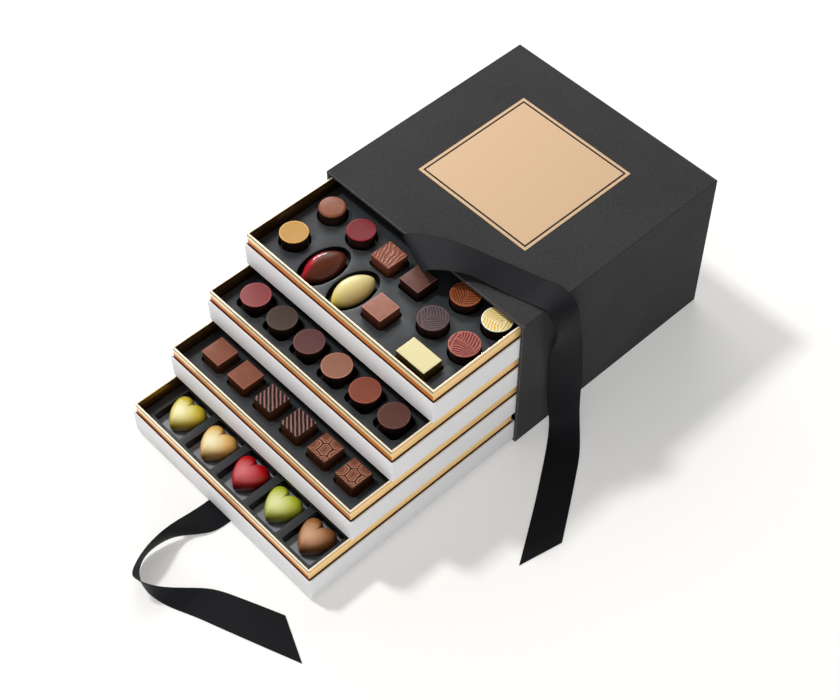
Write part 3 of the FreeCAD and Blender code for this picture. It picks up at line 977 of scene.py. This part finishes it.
def smooth_line(runs, points):
    """A natural cubic spline through points at these run lengths, as a function of the run."""
    count = len(runs)
    steps = [after - before for before, after in zip(runs, runs[1:])]
    bends = [Vector((0, 0, 0)) for _ in runs]
    swept = [Vector((0, 0, 0)) for _ in runs]
    upper = [0.0] * count
    for i in range(1, count - 1):
        turn = (points[i + 1] - points[i]) / steps[i] - (points[i] - points[i - 1]) / steps[i - 1]
        pivot = 2 * (steps[i - 1] + steps[i]) - steps[i - 1] * upper[i - 1]
        upper[i] = steps[i] / pivot
        swept[i] = (6 * turn - steps[i - 1] * swept[i - 1]) / pivot
    for i in range(count - 2, 0, -1):
        bends[i] = swept[i] - upper[i] * bends[i + 1]

    def at(run):
        span = max(i for i in range(count - 1) if runs[i] <= run or i == 0)
        after = (run - runs[span]) / steps[span]
        before = 1 - after
        curve = (before ** 3 - before) * bends[span] + (after ** 3 - after) * bends[span + 1]
        return before * points[span] + after * points[span + 1] + curve * steps[span] ** 2 / 6

    return at


def stations(origin, shares):
    """Edge points of a ribbon, from shares of its width measured from a place."""
    return [tuple(Vector(origin) + Vector(point) * ribbon_width for point in pair) for pair in shares]


def ribbon(name, node, length, route):
    """A strip laid out flat, then carried along its route."""
    bpy.ops.mesh.primitive_grid_add(x_subdivisions=ribbon_columns, y_subdivisions=ribbon_rows, size=1)
    strip = added(name)
    middles = [(a + b) / 2 for a, b in route]
    runs = [0.0]
    for before, after in zip(middles, middles[1:]):
        runs.append(runs[-1] + (after - before).length)
    edges = [smooth_line(runs, points) for points in zip(*route)]
    for point in strip.data.vertices:
        run = (point.co.y + 0.5) * runs[-1]
        a, b = [edge(run) for edge in edges]
        point.co = a.lerp(b, point.co.x + 0.5)
        point.co.z = max(point.co.z, ribbon_lift)
    finish_with(strip, "SOLIDIFY", thickness=ribbon_thickness, offset=0.0)
    smooth(strip, 50.0)
    strip.data.materials.append(ribbon_finish(name + "_cloth", length))
    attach(strip, "sleeve")
    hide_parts(node)


def upper_ribbon():
    route = stations((ribbon_shift_x, case_low.y, case_ceiling - ribbon_lift), upper_ceiling_shares)
    route += stations((ribbon_shift_x, case_low.y, case_high.z + ribbon_lift), upper_front_shares)
    route += stations((case_high.x, case_low.y, case_high.z + ribbon_lift), upper_edge_shares)
    route += stations((case_high.x, case_low.y, ribbon_lift), upper_floor_shares)
    ribbon("upper_ribbon", "ribbon_upper", upper_ribbon_length, route)


def lower_ribbon():
    route = stations((ribbon_shift_x, case_low.y + ribbon_tuck, ribbon_lift), lower_run_shares)
    route += stations((ribbon_shift_x, lowest_tray_front, ribbon_lift), lower_loop_shares)
    ribbon("lower_ribbon", "ribbon_lower", lower_ribbon_length, route)


# Trays


def white_tray(number):
    """Folded board tray: a block hollowed from its top, with softened edges."""
    node = "tray_%d_base" % number
    low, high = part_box(node)
    bpy.ops.mesh.primitive_cube_add(size=1)
    tray = between(added("tray_%d_white_tray" % number), low, high)
    begin(tray)
    pick(tray, "faces", faces_up)
    bpy.ops.mesh.inset(thickness=tray_wall)
    bpy.ops.mesh.extrude_region_move(TRANSFORM_OT_translate={"value": (0, 0, low.z + tray_floor - high.z)})
    bpy.ops.mesh.select_mode(type="EDGE")
    outer = (high.x - low.x) / 2 - tray_wall / 2

    def outer_upright(edge):
        a, b = [vert.co for vert in edge.verts]
        return abs(a.z - b.z) > tray_floor and abs(a.x - (low.x + high.x) / 2) > outer

    pick(tray, "edges", outer_upright)
    bpy.ops.mesh.bevel(offset=tray_corner, segments=4, affect="EDGES")
    done()
    soften(tray, tray_edge, 2, 40.0)
    smooth(tray)
    dress_tray_piece(tray, number, node, tray_paper)


def gold_collar(number):
    """Bright card frame inside the white walls: four walls given their thickness and a rolled edge."""
    node = "tray_%d_collar" % number
    low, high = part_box(node)
    bpy.ops.mesh.primitive_cube_add(size=1)
    collar = between(added("tray_%d_gold_collar" % number), low, high)
    begin(collar)
    pick(collar, "faces", lambda face: abs(face.normal.z) > 0.5)
    bpy.ops.mesh.delete(type="FACE")
    done()
    finish_with(collar, "SOLIDIFY", thickness=collar_card, offset=-1.0, use_even_offset=True)
    soften(collar, collar_edge, 3, 40.0)
    smooth(collar)
    remember_places(collar, Vector((0, 0, high.z)))
    dress_tray_piece(collar, number, node, gold_card)
    collar.data.materials.append(gold_card_inside_shade)
    collar.data.materials.append(gold_card_side_reflection)
    # Front, side and inner faces each take their own copy of the card, with its own painted light.
    front, inside, side = range(3)
    middle = (low + high) / 2
    for face in collar.data.polygons:
        level = Vector((face.normal.x, face.normal.y, 0.0))
        outer = side if abs(face.normal.x) > 0.7 else front
        face.material_index = inside if level.dot(face.center - middle) < 0 else outer


def dress_tray_piece(piece, number, node, finish=None):
    """Put a piece on its tray in the place of its CAD node."""
    if finish:
        piece.data.materials.append(finish)
    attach(piece, "tray_%d" % number)
    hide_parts(node)


# Moulded inserts


def rounded_outline(width, depth, corner):
    """Points round a rectangle with round corners, or a circle where the corners meet."""
    points = []
    for quarter in range(4):
        side_x = 1 if quarter in (0, 3) else -1
        side_y = 1 if quarter in (0, 1) else -1
        middle = Vector((side_x * (width / 2 - corner), side_y * (depth / 2 - corner), 0.0))
        for step in range(corner_points):
            turn = math.radians(90) * (quarter + (step + 0.5) / corner_points)
            points.append(middle + corner * Vector((math.cos(turn), math.sin(turn), 0.0)))
    return points


def oval_outline(width, length):
    count = 4 * corner_points
    turns = [2 * math.pi * index / count for index in range(count)]
    return [Vector((width / 2 * math.cos(turn), length / 2 * math.sin(turn), 0.0)) for turn in turns]


def extrude_rings(sides, rings):
    """Carry the selected outline down ring by ring; a ring has its inset from the sides and its drop."""
    for (last_inset, last_drop), (inset, drop) in zip(rings, rings[1:]):
        bpy.ops.mesh.extrude_region_move(TRANSFORM_OT_translate={"value": (0, 0, last_drop - drop)})
        shrink = [(side / 2 - inset) / (side / 2 - last_inset) for side in sides]
        bpy.ops.transform.resize(value=(*shrink, 1), center_override=(0, 0, -drop))


def rolled(inset):
    """Rings of a rolled edge, where inset(share) tells how far in the edge is at a share of the roll."""
    return [(inset(math.sin(turn)), pocket_roll * (1 - math.cos(turn))) for turn in pocket_roll_turns]


def pocket_cup(width, depth, corner, fall):
    """One pocket, open at the top: a rolled rim, a wall that draws in, a rounded foot and a floor."""
    outer_width = width + 2 * pocket_roll
    outer_depth = depth + 2 * pocket_roll
    outline = rounded_outline(outer_width, outer_depth, corner + pocket_roll)
    if corner == 0.0:
        outline = oval_outline(outer_width, outer_depth)
    bpy.ops.mesh.primitive_circle_add(vertices=len(outline), radius=width / 2, fill_type="NOTHING")
    cup = added("pocket_cup")
    for point, place in zip(cup.data.vertices, outline):
        point.co = place
    foot = pocket_foot_inset - pocket_foot_round / 2
    rings = rolled(lambda share: pocket_roll * (share - 1))
    for inset, rise in pocket_foot_shares:
        rings.append((foot + inset * pocket_foot_round, fall - rise * pocket_foot_round))
    begin(cup, "VERT", "SELECT")
    extrude_rings((width, depth), rings)
    bpy.ops.mesh.edge_face_add()
    done()
    remember_places(cup)
    return cup


def deck_border(low, high):
    """The insert's rolled outer edge and its skirt, down to the tray's floor."""
    bpy.ops.mesh.primitive_plane_add(size=1)
    border = added("deck_border")
    size = high - low
    inner = (size.x - 2 * pocket_roll, size.y - 2 * pocket_roll)
    begin(border, "VERT", "SELECT")
    bpy.ops.transform.resize(value=(*inner, 1), center_override=(0, 0, 0))
    bpy.ops.mesh.bevel(offset=insert_corner, segments=4, affect="VERTICES")
    bpy.ops.mesh.select_all(action="SELECT")
    bpy.ops.mesh.delete(type="ONLY_FACE")
    bpy.ops.mesh.select_all(action="SELECT")
    extrude_rings(inner, rolled(lambda share: -pocket_roll * share) + [(-pocket_roll, size.z)])
    done()
    border.location = ((low.x + high.x) / 2, (low.y + high.y) / 2, high.z)
    return border


def moulded_insert(number, pockets):
    """Thermoformed sheet: its border, its pockets and the deck filled in between them."""
    node = "tray_%d_insert" % number
    low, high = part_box(node)
    parts = [deck_border(low, high)]
    for cup, places in pockets:
        parts += [copied(cup, (place.x, place.y, high.z)) for place in places]
    insert = joined("tray_%d_moulded_insert" % number, parts)

    def open_at_deck(edge):
        return len(edge.link_faces) == 1 and all(abs(vert.co.z - high.z) < touching for vert in edge.verts)

    begin(insert, "EDGE")
    pick(insert, "edges", open_at_deck)
    bpy.ops.mesh.fill(use_beauty=True)
    bpy.ops.mesh.select_all(action="SELECT")
    bpy.ops.mesh.normals_make_consistent(inside=False)
    shape = bmesh.from_edit_mesh(insert.data)
    shape.normal_update()
    level = [face for face in shape.faces if abs(face.normal.z) > 0.99]
    deck = max(level, key=lambda face: face.calc_center_median().z)
    if deck.normal.z < 0:
        bpy.ops.mesh.flip_normals()
    done()
    finish_with(insert, "SOLIDIFY", thickness=insert_sheet, offset=-1.0)
    smooth(insert, 40.0)
    plastic = heart_insert_plastic if number == 4 else insert_plastic
    dress_tray_piece(insert, number, node, plastic)


# Chocolate forms, each standing on z = 0 about the Z axis


def node_height(node):
    low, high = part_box(node)
    return high.z - low.z


def round_form(share=1.0):
    """A disc that widens to its flat top, with a softened rim."""
    height = node_height("tray_2_milk_rounds")
    bpy.ops.mesh.primitive_cylinder_add(vertices=round_sides, radius=share * round_base / 2, depth=height)
    form = added("round_form")
    begin(form, select="SELECT")
    bpy.ops.transform.translate(value=(0, 0, height / 2))
    pick(form, "faces", faces_up)
    widen = round_top / round_base
    bpy.ops.transform.resize(value=(widen, widen, 1), center_override=(0, 0, height))
    bpy.ops.mesh.bevel(offset=round_edge, segments=3, affect="EDGES")
    pick(form, "faces", lies_level)
    bpy.ops.mesh.inset(thickness=round_rim_width)
    bpy.ops.transform.translate(value=(0, 0, -round_top_sink))
    done()
    return finished(form, 40.0, height - 1.1 * round_edge)


def dome_form():
    """A smaller round with straight sides and a rounded, slightly crowned top."""
    height = node_height("tray_1_dome_rounds")
    body = height - dome_crown
    bpy.ops.mesh.primitive_cylinder_add(vertices=round_sides, radius=dome_width / 2, depth=body)
    form = added("dome_form")
    begin(form, select="SELECT")
    bpy.ops.transform.translate(value=(0, 0, body / 2))
    pick(form, "faces", faces_up)
    bpy.ops.mesh.bevel(offset=dome_edge, segments=8, affect="EDGES")
    pick(form, "faces", lies_level)
    for _ in range(dome_rings):
        bpy.ops.mesh.inset(thickness=dome_ring_width)
        bpy.ops.transform.translate(value=(0, 0, dome_crown / dome_rings))
    done()
    return finished(form, 60.0, height - dome_edge - dome_crown)


def square_form(relief=None, cuts=0):
    """A block with a drawn-in foot and soft edges; its top can carry a raised pattern."""
    height = node_height("tray_3_plain_squares")
    half = square_side / 2
    bpy.ops.mesh.primitive_cube_add(size=1)
    form = between(added("square_form"), Vector((-half, -half, 0)), Vector((half, half, height)))
    begin(form)
    pick(form, "faces", lambda face: face.normal.z < -0.9)
    draw_in = square_base / square_side
    bpy.ops.transform.resize(value=(draw_in, draw_in, 1), center_override=(0, 0, 0))
    done()
    soften(form, square_edge, 4, 30.0)
    if relief:
        raise_top(form, height, relief, cuts)
    return finished(form, 40.0, height - 1.1 * square_edge)


def raise_top(form, height, relief, cuts):
    """Divide the flat top finely and lift it by a pattern, which is kept with the mesh."""
    begin(form)
    pick(form, "faces", lies_level)
    bpy.ops.mesh.inset(thickness=relief_inset)
    bpy.ops.mesh.subdivide(number_cuts=cuts)
    done()
    store = form.data.attributes.new("relief", "FLOAT", "POINT")
    limit = square_side / 2 - square_edge - relief_border
    for point, kept in zip(form.data.vertices, store.data):
        inside = min(limit - abs(point.co.x), limit - abs(point.co.y))
        if point.co.z > height - touching:
            kept.value, lift = relief(point.co.x / mm, point.co.y / mm)
            point.co.z += lift * mm * min(1.0, max(0.0, inside / relief_fade))


def striped_relief(x, y):
    """Ridges along the square's diagonal."""
    across = x * math.cos(stripe_lean) + y * math.sin(stripe_lean)
    wander = 0.5 * noise.noise(Vector((x, y, 1.0)) * 0.25)
    wave = 0.5 + 0.5 * math.sin(2 * math.pi * across / stripe_pitch + wander)
    ridge = min(1.0, max(0.0, (wave - stripe_foot) / stripe_slope))
    return ridge, stripe_depth * (ridge - 1)


def crackle_relief(x, y):
    """Grooves between the cells of a crackled top, with two raised outlines in each cell."""
    wobble = [noise.noise(Vector((x, y, level)) * 0.16) for level in (0.0, 5.0)]
    place = Vector((x, y)) + crackle_wobble * Vector(wobble)
    side = square_side / mm
    reach = sorted((place - Vector(share) * side).length for share in crackle_cell_shares)
    border = (reach[1] - reach[0]) / 2
    line = max(0.0, *(height - abs(border - middle) / fade for middle, fade, height in crackle_lines))
    groove = max(0.0, 1 - border / crackle_groove)
    return 0.5 + min(0.5, 0.7 * line) - 0.5 * groove, crackle_height * (line - groove) - crackle_sink


def wrinkle_relief(x, y):
    """Fanned strokes, as a fork leaves them."""
    fan = x * (1.0 - 0.03 * y) + 0.35 * y + 1.6 * noise.noise(Vector((0.1 * x, 0.16 * y, 2.0)))
    wander = 2.0 * noise.noise(Vector((0.2 * x, 0.1 * y, 7.0)))
    stroke = math.sin(2 * math.pi * fan / wrinkle_pitch + wander)
    patch = 0.5 + 0.5 * noise.noise(Vector((0.2 * x, 0.2 * y, 11.0)))
    ridge = max(0.0, stroke) * patch
    return min(1.0, 1.5 * ridge), wrinkle_height * (ridge - 0.5)


def oval_form():
    """An egg-like oval, flat underneath, narrower at its near end, with its ridge towards the left."""
    height = node_height("tray_1_egg_ovals")
    bpy.ops.mesh.primitive_uv_sphere_add(segments=oval_segments, ring_count=oval_rings, radius=0.5)
    form = added("oval_form")
    begin(form, select="SELECT")
    sides = (oval_width, oval_length, 2 * oval_swell * height)
    bpy.ops.transform.resize(value=sides, center_override=(0, 0, 0))
    bpy.ops.transform.translate(value=(0, 0, height * (1 - oval_swell)))
    bpy.ops.mesh.bisect(plane_co=(0, 0, 0), plane_no=(0, 0, 1), use_fill=True, clear_inner=True)
    done()
    for point in form.data.vertices:
        along = min(1.0, abs(2 * point.co.y / oval_length))
        slim = 1 - along ** 2
        point.co.x *= slim ** (oval_near_point if point.co.y < 0 else oval_far_point)
        rise = max(0.0, point.co.z / height - (1 - oval_swell)) / oval_swell
        point.co.x -= oval_lean * oval_width * rise * slim ** 0.5
    return finished(form, 60.0)


def ingot_form():
    """A foil-wrapped bar: a flat top and crinkled sides."""
    half = Vector((*ingot_half, 0.0))
    high = half + Vector((0, 0, node_height("tray_1_foil_ingots")))
    bpy.ops.mesh.primitive_cube_add(size=1)
    form = between(added("ingot_form"), -half, high)
    begin(form, select="SELECT")
    bpy.ops.mesh.subdivide(number_cuts=ingot_cuts)
    done()
    for point in form.data.vertices:
        side = touching < point.co.z < high.z - ingot_smooth_band
        place = Vector((point.co.x, point.co.y, 0.35 * point.co.z)) / mm
        crease = abs(noise.noise(place * 0.45)) + 0.5 * abs(noise.noise(place * 1.1))
        pull = ingot_crease * crease * (1 if side else 0)
        for axis in (0, 1):
            if abs(abs(point.co[axis]) - high[axis]) < touching:
                point.co[axis] -= math.copysign(pull, point.co[axis])
    soften(form, ingot_edge, 2, 60.0)
    return finished(form, 40.0, high.z - 0.2 * mm)


def arc_points(first, middle, last, count):
    """Points along the circle through three points, without the last one."""
    ways = (middle - last, last - first, first - middle)
    points = (first, middle, last)
    cross = 2 * sum(point.x * way.y for point, way in zip(points, ways))
    x = sum(point.length_squared * way.y for point, way in zip(points, ways))
    y = -sum(point.length_squared * way.x for point, way in zip(points, ways))
    centre = Vector((x / cross, y / cross))
    angles = [math.atan2(point.y - centre.y, point.x - centre.x) for point in points]
    sweep = (angles[2] - angles[0]) % (2 * math.pi)
    if (angles[1] - angles[0]) % (2 * math.pi) > sweep:
        sweep -= 2 * math.pi
    radius = (first - centre).length
    turns = [angles[0] + sweep * step / count for step in range(count)]
    return [centre + radius * Vector((math.cos(turn), math.sin(turn))) for turn in turns]


def heart_outline():
    """A heart with its tip towards -Y: a lobe arc and a flank arc, mirrored on the left."""

    def place(share):
        return Vector((share.x * heart_width, share.y * heart_length))

    widest = place(heart_side_share)
    right = arc_points(place(heart_notch_share), place(heart_lobe_share), widest, heart_lobe_points)
    right += arc_points(widest, place(heart_flank_share), place(heart_tip_share), heart_flank_points)
    right.append(place(heart_tip_share))
    left = [Vector((-point.x, point.y)) for point in right[-2:0:-1]]
    return right + left


def heart_form():
    """A pillow-like heart, widest low down, built up ring by ring and rounded off."""
    height = node_height("tray_4_red_hearts")
    outline = heart_outline()
    bpy.ops.mesh.primitive_circle_add(vertices=len(outline), radius=heart_width / 2, fill_type="NGON")
    form = added("heart_form")
    foot_share = heart_section_shares[0][1]
    for point, place in zip(form.data.vertices, outline):
        point.co = (place.x * foot_share, place.y * foot_share, 0.0)
    begin(form, select="SELECT")
    for below, above in zip(heart_section_shares, heart_section_shares[1:]):
        rise = (above[0] - below[0]) * height
        bpy.ops.mesh.extrude_region_move(TRANSFORM_OT_translate={"value": (0, 0, rise)})
        grow = above[1] / below[1]
        bpy.ops.transform.resize(value=(grow, grow, 1), center_override=(0, 0, above[0] * height))
    bpy.ops.mesh.select_all(action="SELECT")
    bpy.ops.mesh.normals_make_consistent(inside=False)
    done()
    finish_with(form, "SUBSURF", levels=1, render_levels=1)
    ease_notch(form, height)
    return finished(form, 70.0)


def ease_notch(form, height):
    """Fill the notch towards the crown, so that its crease fades out on the top."""
    for point in form.data.vertices:
        rise = point.co.z / height
        outline = section_share(rise)
        share = max(0.0, (rise - heart_notch_start) / (1 - heart_notch_start))
        fill = heart_notch_fill * share * outline * heart_length
        near = math.exp(-((point.co.x / (heart_notch_reach * heart_width * outline)) ** 2))
        if point.co.y > 0:
            point.co.y += fill * near


def section_share(rise):
    """The heart's share of its outline at a share of its height."""
    for below, above in zip(heart_section_shares, heart_section_shares[1:]):
        if rise <= above[0]:
            return below[1] + (above[1] - below[1]) * (rise - below[0]) / (above[0] - below[0])
    return heart_section_shares[-1][1]


# Setting out the chocolates


def insert_middle(number):
    low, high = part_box("tray_%d_insert" % number)
    return (low + high) / 2, high - low


def grid_places(number, columns, rows, pitch_share):
    """Places by column, with the pitches as a share of the insert's width and depth."""
    middle, size = insert_middle(number)
    grid = []
    for column in range(columns):
        x = middle.x + (column - (columns - 1) / 2) * size.x * pitch_share
        ys = [middle.y + (row - (rows - 1) / 2) * size.y * pitch_share for row in range(rows)]
        grid.append([Vector((x, y, 0.0)) for y in ys])
    return grid


def place_chocolates(number, kind, form, places, turns, *finishes):
    """Copies of a form on a tray, as one piece in the place of their CAD node."""
    node = "tray_%d_%s" % (number, kind)
    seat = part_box(node)[0].z
    spots = [(Vector((place.x, place.y, seat)), turn) for place, turn in zip(places, turns)]
    chocolates = joined("tray_%d_%s_set" % (number, kind), set_out(form, spots, finishes))
    dress_tray_piece(chocolates, number, node)


def pocket_fall(number, kind):
    """How far below the deck the chocolates of a kind stand."""
    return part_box("tray_%d_insert" % number)[1].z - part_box("tray_%d_%s" % (number, kind))[0].z


# Round tops carry a painted highlight round their rim.
def round_looks(name, rim):
    top = chocolate_finish(name + "_round_top", round_tops[name], None, 0.48, pale=1.06, rim=rim)
    return dark_side, top


# Square tops carry a painted highlight round their rim.
def square_top(name, colour):
    return chocolate_finish(name + "_top", colour, rim=square_rim_highlight)


def assorted_tray():
    """Tray 1: thirteen kinds, each in two places turned half round the tray's middle."""
    middle, size = insert_middle(1)
    forms = {"round": round_form(), "dome": dome_form(), "square": square_form(), "oval": oval_form()}
    forms["small_round"] = round_form(small_round_share)
    forms["rough"] = square_form(wrinkle_relief, wrinkle_cuts)
    forms["ingot"] = ingot_form()
    rough_top = relief_finish("rough_top", tone(136, 73, 52), tone(186, 121, 92))
    ingot_top = ingot_foil_finish(
        "ingot_top", tone(232, 222, 170), tone(224, 212, 158), 0.5, 300.0, 0.04 * mm, 0.2
    )
    ingot_side = ingot_foil_finish(
        "ingot_side", tone(176, 146, 66), tone(150, 120, 44), 0.3, 160.0, 0.12 * mm, 0.9
    )
    finishes = {
        "mustard_round": ("small_round", round_looks("mustard", small_round_rim_highlight)),
        "red_round": ("small_round", round_looks("red", small_round_rim_highlight)),
        "dome_round": ("dome", (dark_side, chocolate_finish("dome_top", tone(145, 89, 66), None, 0.36))),
        "egg_oval": ("oval", (egg_finish(),)),
        "cream_oval": ("oval", (cream_finish(),)),
        "rough_square": ("rough", (milk_side, rough_top)),
        "dark_square": ("square", (dark_side, square_top("dark_square", tone(105, 70, 62)))),
        "milk_square": ("square", (milk_side, square_top("milk_square", tone(164, 110, 92)))),
        "foil_ingot": ("ingot", (ingot_side, ingot_top)),
    }
    for name, (ground, line, turn) in ripple_tops.items():
        finishes[name + "_wave"] = ("round", (dark_side, ripple_finish(name + "_ripple", ground, line, turn)))
    cups = {
        "round": (round_pocket, round_pocket, round_pocket / 2),
        "dome": (dome_pocket, dome_pocket, dome_pocket / 2),
        "square": (square_pocket, square_pocket, square_pocket_corner),
        "oval": (*oval_pocket, 0.0),
        "ingot": (*ingot_pocket, sharp_pocket_corner),
    }
    cups["small_round"] = cups["round"]
    cups["rough"] = cups["square"]
    fall = pocket_fall(1, "red_rounds")
    pockets = []
    for name, (x_share, y_share) in assorted_place_shares.items():
        kind, looks = finishes[name]
        reach = Vector((x_share * size.x / 2, y_share * size.y / 2, 0.0))
        places = [middle + reach, middle - reach]
        turn = math.radians(oval_turn) if kind == "oval" else 0.0
        place_chocolates(1, name + "s", forms[kind], places, (turn, math.pi + turn), *looks)
        pockets.append((pocket_cup(*cups[kind], fall), places))
    moulded_insert(1, pockets)
    discard([cup for cup, places in pockets] + list(forms.values()))


def grid_tray(number, names, kind, forms, looks, rows, kind_columns, pitch_share, pocket, turn=0.0):
    """Trays 2 to 4: one kind to each column or pair of columns."""
    grid = grid_places(number, len(names) * kind_columns, rows, pitch_share)
    for index, name in enumerate(names):
        columns = grid[index * kind_columns:(index + 1) * kind_columns]
        places = [place for column in columns for place in column]
        place_chocolates(number, name + "_" + kind, forms[index], places, [turn] * len(places), *looks[index])
    cup = pocket_cup(*pocket, pocket_fall(number, names[0] + "_" + kind))
    moulded_insert(number, [(cup, [place for column in grid for place in column])])
    discard([cup, *forms])


def round_tray():
    forms = [round_form()] * len(round_names)
    looks = [round_looks(name, round_rim_highlight) for name in round_names]
    pocket = (round_pocket, round_pocket, round_pocket_corner)
    grid_tray(2, round_names, "rounds", forms, looks, round_rows, 1, round_pitch_share, pocket)


def square_tray():
    striped = square_form(striped_relief, striped_cuts)
    forms = [square_form(), striped, square_form(crackle_relief, crackle_cuts)]
    crackle = (tone(118, 68, 48), tone(188, 134, 108), 0.36, tone(40, 18, 10))
    looks = [
        (amber_side, square_top("plain", tone(139, 85, 66))),
        (amber_side, relief_finish("striped_top", tone(27, 11, 10), tone(160, 117, 108), 0.42)),
        (amber_side, relief_finish("crackle_top", *crackle)),
    ]
    pocket = (square_pocket, square_pocket, square_pocket_corner)
    layout = (square_rows, square_kind_columns, square_pitch_share)
    grid_tray(3, square_names, "squares", forms, looks, *layout, pocket)


def heart_tray():
    forms = [heart_form()] * len(heart_names)
    looks = []
    for name in heart_names:
        shell, deep, crown = heart_shells[name]
        looks.append((chocolate_finish(name + "_shell", shell, deep, 0.36, 15.0, 1.05, 0.8, crown=crown),))
    pocket = (*heart_pocket, sharp_pocket_corner)
    turn = math.radians(heart_turn)
    grid_tray(4, heart_names, "hearts", forms, looks, heart_rows, 1, heart_pitch_share, pocket, turn)


# Camera, light and floor


def place_camera():
    azimuth = math.radians(camera_azimuth)
    elevation = math.radians(camera_elevation)
    roll = math.radians(camera_roll)
    level = math.cos(elevation)
    back = Vector((math.sin(azimuth) * level, -math.cos(azimuth) * level, math.sin(elevation)))
    right = Vector((math.cos(azimuth), math.sin(azimuth), 0.0))
    up = back.cross(right)
    turned_right = math.cos(roll) * right + math.sin(roll) * up
    turned_up = math.cos(roll) * up - math.sin(roll) * right
    turn = Matrix((turned_right, turned_up, back)).transposed().to_4x4()
    bpy.ops.object.camera_add()
    camera = bpy.context.object
    camera.name = "camera"
    camera.matrix_world = Matrix.Translation(camera_place) @ turn
    camera.data.lens = camera_lens
    camera.data.sensor_width = film_width
    camera.data.clip_start = camera_near
    scene.camera = camera


def place_lamp(name, direction, distance, sides, power):
    """A flat lamp that faces the middle of the box."""
    away = Vector(direction).normalized()
    bpy.ops.object.light_add(type="AREA", location=box_middle + away * distance)
    lamp = bpy.context.object
    lamp.name = name
    lamp.rotation_euler = away.to_track_quat("Z", "Y").to_euler()
    lamp.data.shape = "RECTANGLE"
    lamp.data.size, lamp.data.size_y = sides
    lamp.data.energy = power
    lamp.visible_glossy = name not in lamps_without_gloss
    lamp.visible_diffuse = name not in lamps_without_diffuse


def seen_directly(tree):
    """1 for rays from the camera, from a mirror or through glass, where the background shows."""
    path = put(tree, "LightPath").outputs
    seen = maths("MAXIMUM", path["Is Camera Ray"], path["Is Glossy Ray"])
    return maths("MAXIMUM", seen, path["Is Transmission Ray"])


def light_sky():
    world = bpy.data.worlds.new("white_sky")
    world.use_nodes = True
    tree = world.node_tree
    tree.nodes.clear()
    rise = axes(put(tree, "TexCoord").outputs["Generated"])["Z"]
    backdrop = ranged(rise, *sky_fade, 1.0, sky_strength)
    brighter = times(less(backdrop, sky_strength), seen_directly(tree))
    sky = put(tree, "Background", {"Color": white, "Strength": plus(brighter, sky_strength)})
    put(tree, "OutputWorld", {"Surface": sky.outputs[0]})
    scene.world = world


def lay_floor():
    bpy.ops.mesh.primitive_plane_add(size=floor_side, location=(0, 0, -floor_drop))
    floor = added("white_floor")
    finish, tree = new_finish("white_floor")
    matte = put(tree, "BsdfDiffuse", {"Color": (*(floor_grey * part for part in floor_warmth), 1.0)})
    split = axes(object_place(tree))
    paler = ranged(flat_reach(split["X"], split["Y"]), *floor_fade, floor_lift, floor_far_lift)
    lift = times(paler, seen_directly(tree))
    glow = put(tree, "Emission", {"Color": white, "Strength": lift})
    both = put(tree, "AddShader", {0: matte.outputs[0], 1: glow.outputs[0]})
    put(tree, "OutputMaterial", {"Surface": both.outputs[0]})
    floor.data.materials.append(finish)


scene.view_settings.view_transform = "Standard"
place_camera()
upper_ribbon()
lower_ribbon()
dress_case()
for tray_number in range(1, 5):
    white_tray(tray_number)
    gold_collar(tray_number)
assorted_tray()
round_tray()
square_tray()
heart_tray()
for lamp_name, lamp_settings in lamps.items():
    place_lamp(lamp_name, *lamp_settings)
light_sky()
lay_floor()
